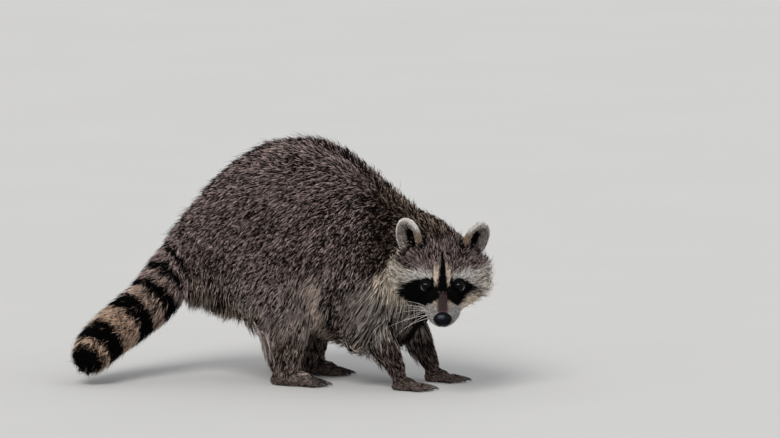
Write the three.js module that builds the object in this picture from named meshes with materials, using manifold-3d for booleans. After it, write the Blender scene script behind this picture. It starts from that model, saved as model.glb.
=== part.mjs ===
// A raccoon standing with its back arched, its head low and turned to its right, life size.
// Millimetres. +X is the way the body faces, +Y its left side and +Z up. The soles stand on Z = 0.
// The solids reach to the tips of the coat. Every flesh piece is a loft: a row of oval sections
// along a body line, trimmed by its grown neighbours so that no two pieces share any space.
import * as THREE from "three";
import { mergeVertices } from "three/addons/utils/BufferGeometryUtils.js";
import Module from "manifold-3d";

const wasm = await Module();
wasm.setup();

// ---- driving dimensions ------------------------------------------------------------------

const GAP = 0.35; // between neighbouring pieces
const SAME_POINT = 1e-3; // corners nearer than this are one corner

// A section is an oval about a point: wide to each side, tall on its upper side and deep on its
// lower side. upper and lower are how square each half is: 2 is an ellipse, less comes to a point.

// The trunk's sections stand in the body's middle plane, from the tail root to the breast.
// top and bottom are [x, z]; wide is the half width.
const TRUNK = [
  { name: "tail_root", top: [-192, 202], bottom: [-166, 134], wide: 34 },
  { name: "croup", top: [-160, 236], bottom: [-132, 120], wide: 61 },
  { name: "hips", top: [-120, 281], bottom: [-88, 102], wide: 83 },
  { name: "flank", top: [-76, 317], bottom: [-44, 84], wide: 94 },
  { name: "loin", top: [-26, 337], bottom: [2, 70], wide: 98 },
  { name: "hump", top: [26, 340], bottom: [46, 61], wide: 96 },
  { name: "ribs", top: [76, 321], bottom: [84, 57], wide: 90 },
  { name: "shoulders", top: [120, 287], bottom: [120, 56], wide: 82 },
  { name: "chest", top: [160, 257], bottom: [156, 64], wide: 70 },
  { name: "breast", top: [190, 237], bottom: [182, 92], wide: 52 },
];
const TRUNK_SHAPE = { widestAt: 0.42, upper: 1.85, lower: 2.2 };
const TRUNK_CUTS = [0.34, 0.7]; // where the trunk is parted, as a share of its length
const TRUNK_PIECES = ["rump", "belly", "chest"];
const TRUNK_LENGTH = 450; // along its middle
const TRUNK_STEPS = 12; // sections along the whole trunk
const TRUNK_END_CAP = 18; // how far the breast rounds out past its last section

// The neck bends to the right between the breast and the back of the head.
const NECK = [
  { at: [156, 2, 188], wide: 65, tall: 62, deep: 74 },
  { at: [184, 1, 184], wide: 60, tall: 57, deep: 68 },
  { at: [210, -8, 175], wide: 55, tall: 49, deep: 60 },
  { at: [227, -34, 168], wide: 52, tall: 46, deep: 52 },
];
const NECK_CAP = 8;

// The tail hangs back and down, and swings forward to the right near its tip.
const TAIL = [
  { at: [-163, 4, 181], wide: 36, tall: 34, deep: 32 },
  { at: [-186, -18, 141], wide: 36, tall: 37, deep: 36 },
  { at: [-205, -44, 107], wide: 36, tall: 36, deep: 36 },
  { at: [-228, -76, 82], wide: 35, tall: 35, deep: 34 },
  { at: [-250, -119, 56], wide: 32, tall: 32, deep: 31 },
  { at: [-254, -160, 37], wide: 27, tall: 27, deep: 26 },
];
const TAIL_LENGTH = 260; // along its middle
const TAIL_TIP_CAP = 28;
const TAIL_LENGTHS = ["tail_root", "tail_upper", "tail_middle", "tail_end"];

// The head has its own frame: origin midway between the eyes, +X out of the nose, +Z the crown.
const HEAD = {
  origin: [245.5, -94, 154.5],
  turn: -70, // degrees to the left of the body's own heading
  nod: 25, // degrees downwards
};
const SKULL = [
  { name: "nape", x: -94, top: 20, bottom: -42, wide: 42, widestAt: 0.45, upper: 2, lower: 1.9 },
  { name: "occiput", x: -76, top: 33, bottom: -52, wide: 55, widestAt: 0.45, upper: 2.1, lower: 1.7 },
  { name: "crown", x: -55, top: 40, bottom: -60, wide: 66, widestAt: 0.47, upper: 2.2, lower: 1.45 },
  { name: "cheeks", x: -35, top: 36, bottom: -63, wide: 69.5, widestAt: 0.5, upper: 2.2, lower: 1.25 },
  { name: "temples", x: -16, top: 27, bottom: -60, wide: 57, widestAt: 0.53, upper: 2.2, lower: 1.3 },
  { name: "brow", x: 0, top: 14, bottom: -52, wide: 42, widestAt: 0.54, upper: 2.3, lower: 1.6 },
  { name: "eye_front", x: 12, top: 2, bottom: -46, wide: 29, widestAt: 0.5, upper: 2.2, lower: 1.8 },
];
const SKULL_BACK_CAP = 12;
const SKULL_FRONT_CAP = 6;
const MUZZLE = [
  { name: "muzzle_root", x: -12, top: 13, bottom: -46, wide: 30, widestAt: 0.4, upper: 2, lower: 2 },
  { name: "muzzle_bridge", x: 10, top: 2, bottom: -44, wide: 27, widestAt: 0.36, upper: 1.8, lower: 2.2 },
  { name: "whisker_pads", x: 32, top: -10, bottom: -40, wide: 22, widestAt: 0.36, upper: 1.8, lower: 2.4 },
  { name: "lip", x: 47, top: -15, bottom: -38, wide: 15, widestAt: 0.42, upper: 2, lower: 2.2 },
];
const MUZZLE_CAP = 6;
const JAW = [
  { name: "jaw_angle", x: -24, top: -40, bottom: -65, wide: 30, widestAt: 0.6, upper: 2, lower: 2 },
  { name: "jaw_middle", x: 8, top: -36, bottom: -57, wide: 21, widestAt: 0.6, upper: 2, lower: 2 },
  { name: "chin", x: 34, top: -36, bottom: -47, wide: 13, widestAt: 0.6, upper: 2, lower: 2 },
];
const JAW_CAP = 7;
const NOSE = { at: [51, 0, -23], length: 20, width: 25, height: 21 };
const NOSTRIL = { at: [60, 5.6, -23], radius: 2.6, long: 1.5 };
const EYE = { at: [1.5, 22.5, 0], radius: 8.7 };
const EAR = {
  width: 36,
  height: 64,
  depth: 20,
  lean_back: 4, // degrees, the tip away from the nose
  hollow_forward: 6,
  hollow_share: 0.84,
};

// Limbs, one row of sections for each piece, for the right side; the left limb is its mirror,
// moved along X by its step. wide is across the body, tall and deep are to the front and back.
const LIMB_TOP_CAP = 12; // how far every piece of a limb rounds out at its upper end
const FORELEG_STEP = 14;
const UPPER_ARM = [
  { at: [130, -38, 204], wide: 28, tall: 34, deep: 38 },
  { at: [124, -46, 156], wide: 36, tall: 39, deep: 44 },
  { at: [118, -50, 110], wide: 36, tall: 37, deep: 42 },
  { at: [114, -52, 76], wide: 30, tall: 32, deep: 34 },
  { at: [113, -52, 56], wide: 20, tall: 23, deep: 24 },
];
const UPPER_ARM_CAP = 9;
const FOREARM = [
  { at: [124, -52, 86], wide: 26, tall: 27, deep: 26 },
  { at: [144, -50, 60], wide: 20, tall: 20, deep: 22 },
  { at: [158, -48, 36], wide: 15, tall: 14, deep: 16 },
  { at: [165, -48, 20], wide: 14, tall: 12, deep: 13 },
];
const WRIST_CAP = 8; // how far a forearm or shank rounds out into its paw
const HINDLEG_STEP = -8;
const THIGH = [
  { at: [-72, -44, 212], wide: 38, tall: 52, deep: 48 },
  { at: [-48, -50, 172], wide: 46, tall: 66, deep: 58 },
  { at: [-16, -60, 126], wide: 43, tall: 55, deep: 54 },
  { at: [0, -62, 90], wide: 33, tall: 41, deep: 39 },
];
const THIGH_CAP = 12;
const SHANK = [
  { at: [4, -60, 104], wide: 30, tall: 36, deep: 34 },
  { at: [2, -59, 72], wide: 27, tall: 33, deep: 34 },
  { at: [0, -58, 44], wide: 23, tall: 29, deep: 30 },
  { at: [-3, -58, 18], wide: 18, tall: 24, deep: 21 },
];

// Paws: a sole and five toes that spread from it, each toe with one claw.
const FORE_PAW = {
  heel: [154, -48, 0],
  sole: { length: 38, width: 34, height: 24 },
  toe: { length: 27, root_radius: 4, tip_radius: 3.7, spread: 17, hump: 6 },
  claw: { length: 8, radius: 1.8 },
};
const HIND_PAW = {
  heel: [-24, -58, 0],
  sole: { length: 70, width: 37, height: 29 },
  toe: { length: 25, root_radius: 4.3, tip_radius: 4, spread: 12, hump: 6 },
  claw: { length: 7.5, radius: 1.8 },
};
const TOES = 5;
const TOE_REACH = [0.74, 0.95, 1, 0.93, 0.72]; // from the inner toe to the outer one
const TOE_CAP = 3.5; // how far a toe rounds out past its last section
const TOE_ARC = 10; // how far the outer toes leave the sole behind the middle one
const TOE_TIP_SINK = 0.9; // height of a toe's tip, as a share of its radius
const KNUCKLE_SHARE = 0.45; // how far along a toe its hump stands
const PALM_SHARE = 0.84; // where along and across the sole the toes leave it
const SOLE_RISE = 0.22; // height of a sole's middle, as a share of its own height
const CLAW_RISE = [3.8, 3.9, 1.6]; // the height of a claw's root, middle and tip
const CLAW_TAPER = 0.75; // the share of its radius that a claw loses by its tip

// mirror is 1 on the right side and -1 on the left. The two ears are held a little differently:
// at is an ear's middle on the right side, lean_out tips it away from the midline and face_out
// turns its open side away from straight ahead, both in degrees.
const SIDES = [
  { name: "right", mirror: 1, ear: { at: [-56, 46, 42], lean_out: 12, face_out: 22 } },
  { name: "left", mirror: -1, ear: { at: [-56, 46, 38], lean_out: 20, face_out: 24 } },
];

// ---- materials ---------------------------------------------------------------------------

const finish = (color, roughness) =>
  new THREE.MeshStandardMaterial({ color, roughness, metalness: 0 });
const BODY_FUR = finish(0x6e625b, 0.95);
const FACE_FUR = finish(0x9a9084, 0.95);
const TAIL_FUR = finish(0x5d5047, 0.95);
const LEG_FUR = finish(0x564841, 0.95);
const EAR_FUR = finish(0xb8b2a6, 0.9);
const NOSE_SKIN = finish(0x17161a, 0.35);
const EYE_SURFACE = finish(0x0c0808, 0.05);
const CLAW_HORN = finish(0x2a2320, 0.45);

// ---- lofting -----------------------------------------------------------------------------

const { degToRad, lerp, clamp } = THREE.MathUtils;
const vector = (list) => new THREE.Vector3(...list);
const FORWARD = [1, 0, 0];
const UPWARD = [0, 0, 1];

// A section of the trunk or head, from its top and bottom in the middle plane.
function uprightSection({ top, bottom, wide, widestAt, upper, lower }) {
  const up = new THREE.Vector3(top[0] - bottom[0], 0, top[1] - bottom[1]);
  const height = up.length();
  const at = [lerp(bottom[0], top[0], widestAt), 0, lerp(bottom[1], top[1], widestAt)];
  const tall = height * (1 - widestAt);
  const deep = height * widestAt;
  return { at, up: up.normalize().toArray(), wide, tall, deep, upper, lower };
}

const headSection = ({ x, top, bottom, ...rest }) =>
  uprightSection({ top: [x, top], bottom: [x, bottom], ...rest });

// A smooth curve through rows of numbers, evaluated at a share from 0 to 1 of its rows.
function through(rows) {
  const width = rows[0].length;
  const places = rows.map((_, i) => i / (rows.length - 1));
  const curve = new THREE.CubicInterpolant(places, rows.flat(), width, new Array(width));
  return (share) => Array.from(curve.evaluate(clamp(share, 0, 1)));
}

// The sections of a body line at even steps from one share of it to another.
// front is the direction of each section's tall side, where the section doesn't give its own.
function sectionsAlong(line, { front = FORWARD, steps, from = 0, to = 1, grow = 0 }) {
  const rowOf = ({ at, up = front, wide, tall, deep, upper = 2, lower = 2 }) =>
    [...at, ...up, wide + grow, tall + grow, deep + grow, upper, lower];
  const curve = through(line.map(rowOf));
  const place = (share) => vector(curve(share).slice(0, 3));
  const nearby = 0.01; // share of the line over which its direction is taken
  const made = [];
  for (let i = 0; i <= steps; i++) {
    const share = lerp(from, to, i / steps);
    const [, , , ux, uy, uz, wide, tall, deep, upper, lower] = curve(share);
    const along = place(share + nearby).sub(place(share - nearby)).normalize();
    const up = new THREE.Vector3(ux, uy, uz);
    if (!line[0].up) up.addScaledVector(along, -up.dot(along));
    up.normalize();
    const side = up.clone().cross(along).normalize();
    made.push({ centre: place(share), along, up, side, wide, tall, deep, upper, lower });
  }
  return made;
}

// Rings that round off an end: the section shrinks as it moves out along its own direction.
function roundedEnd(section, reach, rings) {
  const made = [];
  for (let i = 1; i <= rings; i++) {
    const turn = (i / (rings + 0.35)) * (Math.PI / 2);
    const share = Math.cos(turn);
    made.push({
      ...section,
      centre: section.centre.clone().addScaledVector(section.along, reach * Math.sin(turn)),
      wide: section.wide * share,
      tall: section.tall * share,
      deep: section.deep * share,
    });
  }
  return made;
}

function sectionPoint({ centre, side, up, wide, tall, deep, upper, lower }, turn) {
  const across = Math.cos(turn);
  const rise = Math.sin(turn);
  const power = 2 / (rise > 0 ? upper : lower);
  const height = rise > 0 ? tall : deep;
  return centre
    .clone()
    .addScaledVector(side, wide * Math.sign(across) * Math.abs(across) ** power)
    .addScaledVector(up, height * Math.sign(rise) * Math.abs(rise) ** power);
}

// A closed body through a row of sections. startCap and endCap are how far its ends round out,
// and around is the number of corners of each section.
function loft(line, { around, startCap = 0, endCap = 0, capRings = 2, grow = 0, ...route }) {
  let rings = sectionsAlong(line, { grow, ...route });
  if (startCap) rings = [...roundedEnd(rings[0], -startCap - grow, capRings).reverse(), ...rings];
  if (endCap) rings = [...rings, ...roundedEnd(rings[rings.length - 1], endCap + grow, capRings)];
  const corners = [...Array(around).keys()];
  const turns = corners.map((j) => (j / around) * 2 * Math.PI);
  const points = rings.flatMap((ring) => turns.map((turn) => sectionPoint(ring, turn)));
  const faces = [];
  const last = rings.length - 1;
  const at = (i, j) => i * around + (j % around);
  for (let i = 0; i < last; i++) {
    for (const j of corners) {
      faces.push(at(i, j), at(i, j + 1), at(i + 1, j + 1));
      faces.push(at(i, j), at(i + 1, j + 1), at(i + 1, j));
    }
  }
  const start = points.push(rings[0].centre.clone()) - 1;
  const end = points.push(rings[last].centre.clone()) - 1;
  for (const j of corners) {
    faces.push(start, at(0, j + 1), at(0, j));
    faces.push(end, at(last, j), at(last, j + 1));
  }
  return new THREE.BufferGeometry().setFromPoints(points).setIndex(faces);
}

const mirrored = (line, step) => line.map((s) => ({ ...s, at: [s.at[0] + step, -s.at[1], s.at[2]] }));
const sideLine = (line, side, step) => (side.mirror > 0 ? line : mirrored(line, step));

// ---- joining and cutting -----------------------------------------------------------------

function solid(geometry) {
  const bare = new THREE.BufferGeometry()
    .setAttribute("position", geometry.getAttribute("position"))
    .setIndex(geometry.index);
  const merged = mergeVertices(bare, SAME_POINT);
  return new wasm.Manifold(
    new wasm.Mesh({
      numProp: 3,
      vertProperties: new Float32Array(merged.getAttribute("position").array),
      triVerts: new Uint32Array(merged.index.array),
    }),
  );
}

function meshOf(body, name, material) {
  const { numProp, vertProperties, triVerts } = body.getMesh();
  const places = [];
  for (let i = 0; i < vertProperties.length; i += numProp) {
    places.push(vertProperties[i], vertProperties[i + 1], vertProperties[i + 2]);
  }
  const geometry = new THREE.BufferGeometry()
    .setAttribute("position", new THREE.Float32BufferAttribute(places, 3))
    .setIndex(Array.from(triVerts));
  geometry.computeVertexNormals();
  const mesh = new THREE.Mesh(geometry, material);
  mesh.name = name;
  return mesh;
}

const ellipsoid = (length, width, height, around, rings) =>
  new THREE.SphereGeometry(0.5, around, rings).scale(length, width, height);

const FLOOR_BLOCK = solid(new THREE.BoxGeometry(1200, 1200, 200).translate(0, 0, -100));

// ---- head --------------------------------------------------------------------------------

const headFrame = new THREE.Matrix4()
  .makeTranslation(...HEAD.origin)
  .multiply(new THREE.Matrix4().makeRotationZ(degToRad(HEAD.turn)))
  .multiply(new THREE.Matrix4().makeRotationY(degToRad(HEAD.nod)));
const inHead = (geometry) => solid(geometry.applyMatrix4(headFrame));

function skull(grow) {
  const cranium = loft(SKULL.map(headSection), {
    around: 18,
    steps: 8,
    startCap: SKULL_BACK_CAP,
    endCap: SKULL_FRONT_CAP,
    capRings: 1,
    grow,
  });
  const muzzle = loft(MUZZLE.map(headSection), { around: 14, steps: 5, endCap: MUZZLE_CAP, grow });
  return inHead(cranium).add(inHead(muzzle));
}

function jaw(grow) {
  const caps = { startCap: JAW_CAP, endCap: JAW_CAP, capRings: 1 };
  return inHead(loft(JAW.map(headSection), { around: 9, steps: 3, ...caps, grow }));
}

function nosePad(grow) {
  const { at, length, width, height } = NOSE;
  const pad = ellipsoid(length + 2 * grow, width + 2 * grow, height + 2 * grow, 12, 8).translate(...at);
  const nostrils = SIDES.map(({ mirror }) => {
    const [x, y, z] = NOSTRIL.at;
    const hole = new THREE.SphereGeometry(NOSTRIL.radius, 5, 4).scale(NOSTRIL.long, 1, 1);
    return inHead(hole.translate(x, -y * mirror, z));
  });
  return nostrils.reduce((left, hole) => left.subtract(hole), inHead(pad));
}

function eyeball(side, grow) {
  const [x, y, z] = EYE.at;
  return inHead(new THREE.SphereGeometry(EYE.radius + grow, 10, 7).translate(x, -y * side.mirror, z));
}

// A cupped ear: an upright egg with a smaller one taken out of its open side.
function earShell(side) {
  const { width, height, depth, lean_back, hollow_forward, hollow_share } = EAR;
  const { at, lean_out, face_out } = side.ear;
  const [x, y, z] = at;
  const outer = ellipsoid(depth, width, height, 12, 9);
  const hollow = ellipsoid(depth, width * hollow_share, height * hollow_share, 10, 6);
  hollow.translate(hollow_forward, 0, 0);
  const place = new THREE.Matrix4()
    .makeTranslation(x, -y * side.mirror, z)
    .multiply(new THREE.Matrix4().makeRotationX(degToRad(lean_out * side.mirror)))
    .multiply(new THREE.Matrix4().makeRotationZ(degToRad(-face_out * side.mirror)))
    .multiply(new THREE.Matrix4().makeRotationY(degToRad(-lean_back)));
  return inHead(outer.applyMatrix4(place)).subtract(inHead(hollow.applyMatrix4(place)));
}

// ---- body --------------------------------------------------------------------------------

const trunkLine = TRUNK.map((s) => uprightSection({ ...TRUNK_SHAPE, ...s }));
function trunkPart(from, to, grow, last) {
  const steps = Math.ceil((to - from) * TRUNK_STEPS);
  const endCap = last ? TRUNK_END_CAP : 0;
  return solid(loft(trunkLine, { around: 20, steps, endCap, from, to, grow }));
}

function neck(grow) {
  const caps = { startCap: NECK_CAP, endCap: NECK_CAP, capRings: 1 };
  return solid(loft(NECK, { front: UPWARD, around: 12, steps: 3, ...caps, grow }));
}

function tailPart(from, to, grow, last) {
  const shape = { front: UPWARD, around: 12, steps: 3, endCap: last ? TAIL_TIP_CAP : 0 };
  return solid(loft(TAIL, { ...shape, from, to, grow }));
}

function limb(line, side, step, endCap, grow) {
  const caps = { startCap: LIMB_TOP_CAP, endCap, capRings: 1 };
  return solid(loft(sideLine(line, side, step), { around: 11, steps: 4, ...caps, grow }));
}

// ---- paws --------------------------------------------------------------------------------

// Where toe number i of a right paw leaves the sole, where its tip is and which way it points.
function toePlace({ heel, sole, toe }, i) {
  const across = i / (TOES - 1) - 0.5; // from the outer toe of a right paw to the inner one
  const fan = degToRad(across * 2 * toe.spread);
  const arc = TOE_ARC * Math.abs(across); // the toes leave the sole along an arc
  const offset = [sole.length * PALM_SHARE - arc, across * sole.width * PALM_SHARE, toe.root_radius];
  const root = vector(heel).add(vector(offset));
  const ahead = new THREE.Vector3(Math.cos(fan), Math.sin(fan), 0);
  const tip = root
    .clone()
    .addScaledVector(ahead, toe.length * TOE_REACH[i])
    .setZ(toe.tip_radius * TOE_TIP_SINK);
  return { root, tip, ahead };
}

const roundSection = (at, radius) => ({ at: at.toArray(), wide: radius, tall: radius, deep: radius });

function toeLine(paw, i) {
  const { root_radius, tip_radius, hump } = paw.toe;
  const { root, tip } = toePlace(paw, i);
  const knuckle = root.clone().lerp(tip, KNUCKLE_SHARE).setZ(hump);
  return [
    roundSection(root, root_radius),
    roundSection(knuckle, (root_radius + tip_radius) / 2),
    roundSection(tip, tip_radius),
  ];
}

function pawBody(paw, side, step) {
  const { heel, sole } = paw;
  const middle = { at: [heel[0] + sole.length / 2, heel[1], heel[2] + sole.height * SOLE_RISE] };
  const [{ at }] = sideLine([middle], side, step);
  const flesh = solid(ellipsoid(sole.length, sole.width, sole.height, 11, 7).translate(...at));
  const shape = { front: UPWARD, around: 5, steps: 2, endCap: TOE_CAP, capRings: 1 };
  const toe = (i) => solid(loft(sideLine(toeLine(paw, i), side, step), shape));
  return [...Array(TOES).keys()].reduce((whole, i) => whole.add(toe(i)), flesh);
}

// A claw curves forward and down from the toe's tip, and ends just clear of the floor.
function claw(paw, side, step, i) {
  const { tip, ahead } = toePlace(paw, i);
  const { length, radius } = paw.claw;
  const line = CLAW_RISE.map((z, k) => {
    const share = k / (CLAW_RISE.length - 1);
    const at = tip.clone().addScaledVector(ahead, TOE_CAP + GAP + length * share).setZ(z);
    return roundSection(at, radius * (1 - CLAW_TAPER * share));
  });
  return solid(loft(sideLine(line, side, step), { front: UPWARD, around: 5, steps: 2 }));
}

// ---- assembly ----------------------------------------------------------------------------

const raccoon = new THREE.Group();
const placed = []; // the pieces so far, each grown by the gap

// Adds a piece, which gives way to all the pieces before it. bodyOf returns it grown by a length.
// Only the largest part that is left of it is kept.
function place(name, material, bodyOf) {
  const body = placed.reduce((left, other) => left.subtract(other), bodyOf(0).subtract(FLOOR_BLOCK));
  const [largest] = body.decompose().sort((a, b) => b.volume() - a.volume());
  raccoon.add(meshOf(largest, name, material));
  placed.push(bodyOf(GAP));
}

// Parts a loft into named lengths. edges are the shares of its length where it is cut.
function placeLengths(names, edges, material, length, partOf) {
  const half = GAP / length / 2;
  names.forEach((name, i) => {
    const last = i === names.length - 1;
    const from = i === 0 ? 0 : edges[i] + half;
    const to = last ? 1 : edges[i + 1] - half;
    place(name, material, (grow) => partOf(from, to, grow, last));
  });
}

for (const side of SIDES) {
  const upperArm = (grow) => limb(UPPER_ARM, side, FORELEG_STEP, UPPER_ARM_CAP, grow);
  const thigh = (grow) => limb(THIGH, side, HINDLEG_STEP, THIGH_CAP, grow);
  place(`upper_arm_${side.name}`, BODY_FUR, upperArm);
  place(`thigh_${side.name}`, BODY_FUR, thigh);
}
placeLengths(TRUNK_PIECES, [0, ...TRUNK_CUTS, 1], BODY_FUR, TRUNK_LENGTH, trunkPart);
placeLengths(TAIL_LENGTHS, [0, 0.25, 0.5, 0.75, 1], TAIL_FUR, TAIL_LENGTH, tailPart);

place("nose", NOSE_SKIN, nosePad);
for (const side of SIDES) place(`eye_${side.name}`, EYE_SURFACE, (grow) => eyeball(side, grow));
place("lower_jaw", FACE_FUR, jaw);
place("head", FACE_FUR, skull);
place("neck", BODY_FUR, neck);
for (const side of SIDES) place(`ear_${side.name}`, EAR_FUR, () => earShell(side));

for (const side of SIDES) {
  const forearm = (grow) => limb(FOREARM, side, FORELEG_STEP, WRIST_CAP, grow);
  const shank = (grow) => limb(SHANK, side, HINDLEG_STEP, WRIST_CAP, grow);
  place(`forearm_${side.name}`, LEG_FUR, forearm);
  place(`forepaw_${side.name}`, LEG_FUR, () => pawBody(FORE_PAW, side, FORELEG_STEP));
  place(`shank_${side.name}`, LEG_FUR, shank);
  place(`hindpaw_${side.name}`, LEG_FUR, () => pawBody(HIND_PAW, side, HINDLEG_STEP));
  for (let i = 0; i < TOES; i++) {
    place(`fore_claw_${side.name}_${i + 1}`, CLAW_HORN, () => claw(FORE_PAW, side, FORELEG_STEP, i));
    place(`hind_claw_${side.name}_${i + 1}`, CLAW_HORN, () => claw(HIND_PAW, side, HINDLEG_STEP, i));
  }
}

// The part's origin is on the floor under the middle of its box.
const box = new THREE.Box3().setFromObject(raccoon);
const middle = box.getCenter(new THREE.Vector3());
const part = new THREE.Group();
raccoon.position.set(-middle.x, -middle.y, -box.min.z);
part.add(raccoon);

export default part;
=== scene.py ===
# A live raccoon as a life-size still model: one skin over the whole body, a coat of solid tufts
# that lie along it, and eyes, nose leather, claws and whiskers of their own.
# Shapes are worked out in millimetres in the body's own frame: +X is the way the body faces,
# +Y its left, +Z up, and Z = 0 the floor. They are put in the model's frame, in metres, when a
# mesh is made.
import math
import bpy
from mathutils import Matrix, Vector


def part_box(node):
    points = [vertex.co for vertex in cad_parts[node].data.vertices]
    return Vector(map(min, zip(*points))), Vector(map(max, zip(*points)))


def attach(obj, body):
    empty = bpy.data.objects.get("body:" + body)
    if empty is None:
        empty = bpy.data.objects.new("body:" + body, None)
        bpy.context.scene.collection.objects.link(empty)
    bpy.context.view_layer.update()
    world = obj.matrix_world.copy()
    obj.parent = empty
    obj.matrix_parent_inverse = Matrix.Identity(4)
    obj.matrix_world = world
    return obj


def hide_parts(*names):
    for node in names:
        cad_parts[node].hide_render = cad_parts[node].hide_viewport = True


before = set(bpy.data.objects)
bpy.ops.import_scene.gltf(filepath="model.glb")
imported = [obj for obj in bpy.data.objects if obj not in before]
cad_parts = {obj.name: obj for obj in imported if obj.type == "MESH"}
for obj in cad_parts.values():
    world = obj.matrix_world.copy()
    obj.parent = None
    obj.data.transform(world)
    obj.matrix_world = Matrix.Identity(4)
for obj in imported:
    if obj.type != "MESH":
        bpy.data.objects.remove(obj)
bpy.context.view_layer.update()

from types import SimpleNamespace

import bmesh
import bpy
import numpy as np
from mathutils import Vector
from mathutils.bvhtree import BVHTree
from mathutils.kdtree import KDTree

MM = 0.001
SEED = 11
SIDES = {"right": -1.0, "left": 1.0}  # the side's sign along the body's and the head's Y
TAU = 2 * math.pi

# ---- frames ----


def unit(vectors):
    length = np.linalg.norm(vectors, axis=-1, keepdims=True)
    return vectors / np.maximum(length, 1e-9)


def ramp(low, high, x):
    """0 short of low, 1 past high and a smooth climb between. low may be the greater of the two."""
    share = np.clip((x - low) / (high - low), 0, 1)
    return share * share * (3 - 2 * share)


def bell(x, middle, width):
    return np.exp(-(((x - middle) / width) ** 2))


# The head's own frame: its origin is midway between the eyes, +X comes out of the nose, +Y is
# the animal's left and +Z its crown.
HEAD_ORIGIN = np.array([245.5, -94.0, 154.5])
HEAD_TURN = math.radians(-70)
HEAD_NOD = math.radians(25)
EYE_FORWARD = 1.5
EYE_APART = 45.0
EYE_RADIUS = 8.7


def head_axes():
    forward = np.array([math.cos(HEAD_TURN), math.sin(HEAD_TURN), 0]) * math.cos(HEAD_NOD)
    forward[2] = -math.sin(HEAD_NOD)
    left = np.array([-math.sin(HEAD_TURN), math.cos(HEAD_TURN), 0])
    return np.array([forward, left, np.cross(forward, left)])


HEAD_AXES = head_axes()


def eye_middle():
    """The place midway between the eyes' solids, in the model's millimetres."""
    boxes = [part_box(f"eye_{side}") for side in SIDES]
    corners = [np.array(corner) for box in boxes for corner in box]
    return sum(corners) / len(corners) / MM


# Where the body's frame has its origin in the model's frame, in millimetres.
SHIFT = eye_middle() - (HEAD_ORIGIN + EYE_FORWARD * HEAD_AXES[0])


def to_head(points):
    return (points - HEAD_ORIGIN) @ HEAD_AXES.T


def from_head(points):
    return np.asarray(points, float) @ HEAD_AXES + HEAD_ORIGIN


def to_model(points):
    return (np.asarray(points) + SHIFT) * MM


def eye_centre(sign):
    """The middle of an eyeball, in the head's frame."""
    return np.array([EYE_FORWARD, sign * EYE_APART / 2, 0])


def folded(places):
    """Head places with the animal's right side laid over its left."""
    return np.column_stack([places[:, 0], np.abs(places[:, 1]), places[:, 2]])


def eye_distance(places):
    return np.linalg.norm(folded(places) - eye_centre(1), axis=1)


# The tail's middle line from its root to its tip.
TAIL = np.array([
    [-163, 4, 181], [-186, -18, 141], [-205, -44, 107],
    [-228, -76, 82], [-250, -119, 56], [-254, -160, 37], [-256, -188, 24],
], float)


def along_line(points, line):
    """The length along a broken line nearest each point, the nearest place and its direction."""
    starts, steps = line[:-1], np.diff(line, axis=0)
    sizes = np.linalg.norm(steps, axis=1)
    gone = np.concatenate([[0], np.cumsum(sizes)])
    best, length = np.full(len(points), np.inf), np.zeros(len(points))
    place, heading = np.zeros((2, len(points), 3))
    for i, (start, step) in enumerate(zip(starts, steps)):
        share = np.clip(((points - start) @ step) / sizes[i] ** 2, 0, 1)
        near = start + share[:, None] * step
        away = np.linalg.norm(points - near, axis=1)
        closer = away < best
        best[closer] = away[closer]
        length[closer] = gone[i] + share[closer] * sizes[i]
        place[closer] = near[closer]
        heading[closer] = step / sizes[i]
    return length, place, heading


# Half of the line between the lips, from under the nose to the corner of the mouth.
MOUTH = np.array([
    [49, 0, -39.5], [46, 7, -38.6], [36, 14.5, -38.8], [24, 19, -40.5], [12, 22.5, -42.5], [3, 25, -42],
], float)


def mouth_distance(places):
    places = folded(places)
    return np.linalg.norm(places - along_line(places, MOUTH)[1], axis=1)


# ---- the coat, part by part ----

# For each part: how far the coat's surface stands off the skin, the length and the width of one
# tuft, the tufts on a square centimetre of skin, and how far the skin is smoothed.
TRAITS = ("depth", "length", "width", "crowd", "soft")
PARTS = {
    "rump": (15, 23, 1.45, 22, 9),
    "belly": (16, 24, 1.45, 21, 9),
    "chest": (16, 24, 1.45, 21, 9),
    "neck": (15, 23, 1.35, 21, 8),
    "thigh": (13, 23, 1.4, 21, 8),
    "upper_arm": (13, 23, 1.4, 21, 8),
    "shank": (7, 24, 1.1, 28, 4),
    "forearm": (5, 18, 1.0, 34, 3.5),
    "hindpaw": (1.6, 7, 0.8, 48, 0.9),
    "forepaw": (1.5, 6, 0.8, 52, 0.9),
    "tail": (18, 30, 1.2, 44, 6),
    "head": (5, 12, 0.75, 75, 2.6),
    "lower_jaw": (2.5, 8, 0.6, 70, 2.2),
    "ear": (0.6, 5.5, 0.55, 95, 1.1),
    "nose": (0.5, 1, 0.5, 0, 1.5),
    "eye": (0.3, 2.5, 0.4, 60, 1.0),
}
PART_NAMES = list(PARTS)
TRAIT_VALUES = dict(zip(TRAITS, np.array(list(PARTS.values()), float).T))
FACE = ("head", "eye", "nose")
PAWS = ("forepaw", "hindpaw")


def part_of(node):
    return next(name for name in PART_NAMES if node.startswith(name))


def on(labels, *names):
    """True where a label is that of one of the named parts."""
    return np.isin(labels, [PART_NAMES.index(name) for name in names])


def part_values(key, labels):
    return TRAIT_VALUES[key][labels]


# ---- reading the solids ----


def add_object(name, data):
    thing = bpy.data.objects.new(name, data)
    bpy.context.scene.collection.objects.link(thing)
    return thing


def read_mesh(mesh):
    """A mesh's corners and triangles."""
    mesh.calc_loop_triangles()
    points = np.empty(len(mesh.vertices) * 3)
    mesh.vertices.foreach_get("co", points)
    faces = np.empty(len(mesh.loop_triangles) * 3, np.int32)
    mesh.loop_triangles.foreach_get("vertices", faces)
    return points.reshape(-1, 3), faces.reshape(-1, 3)


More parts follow.
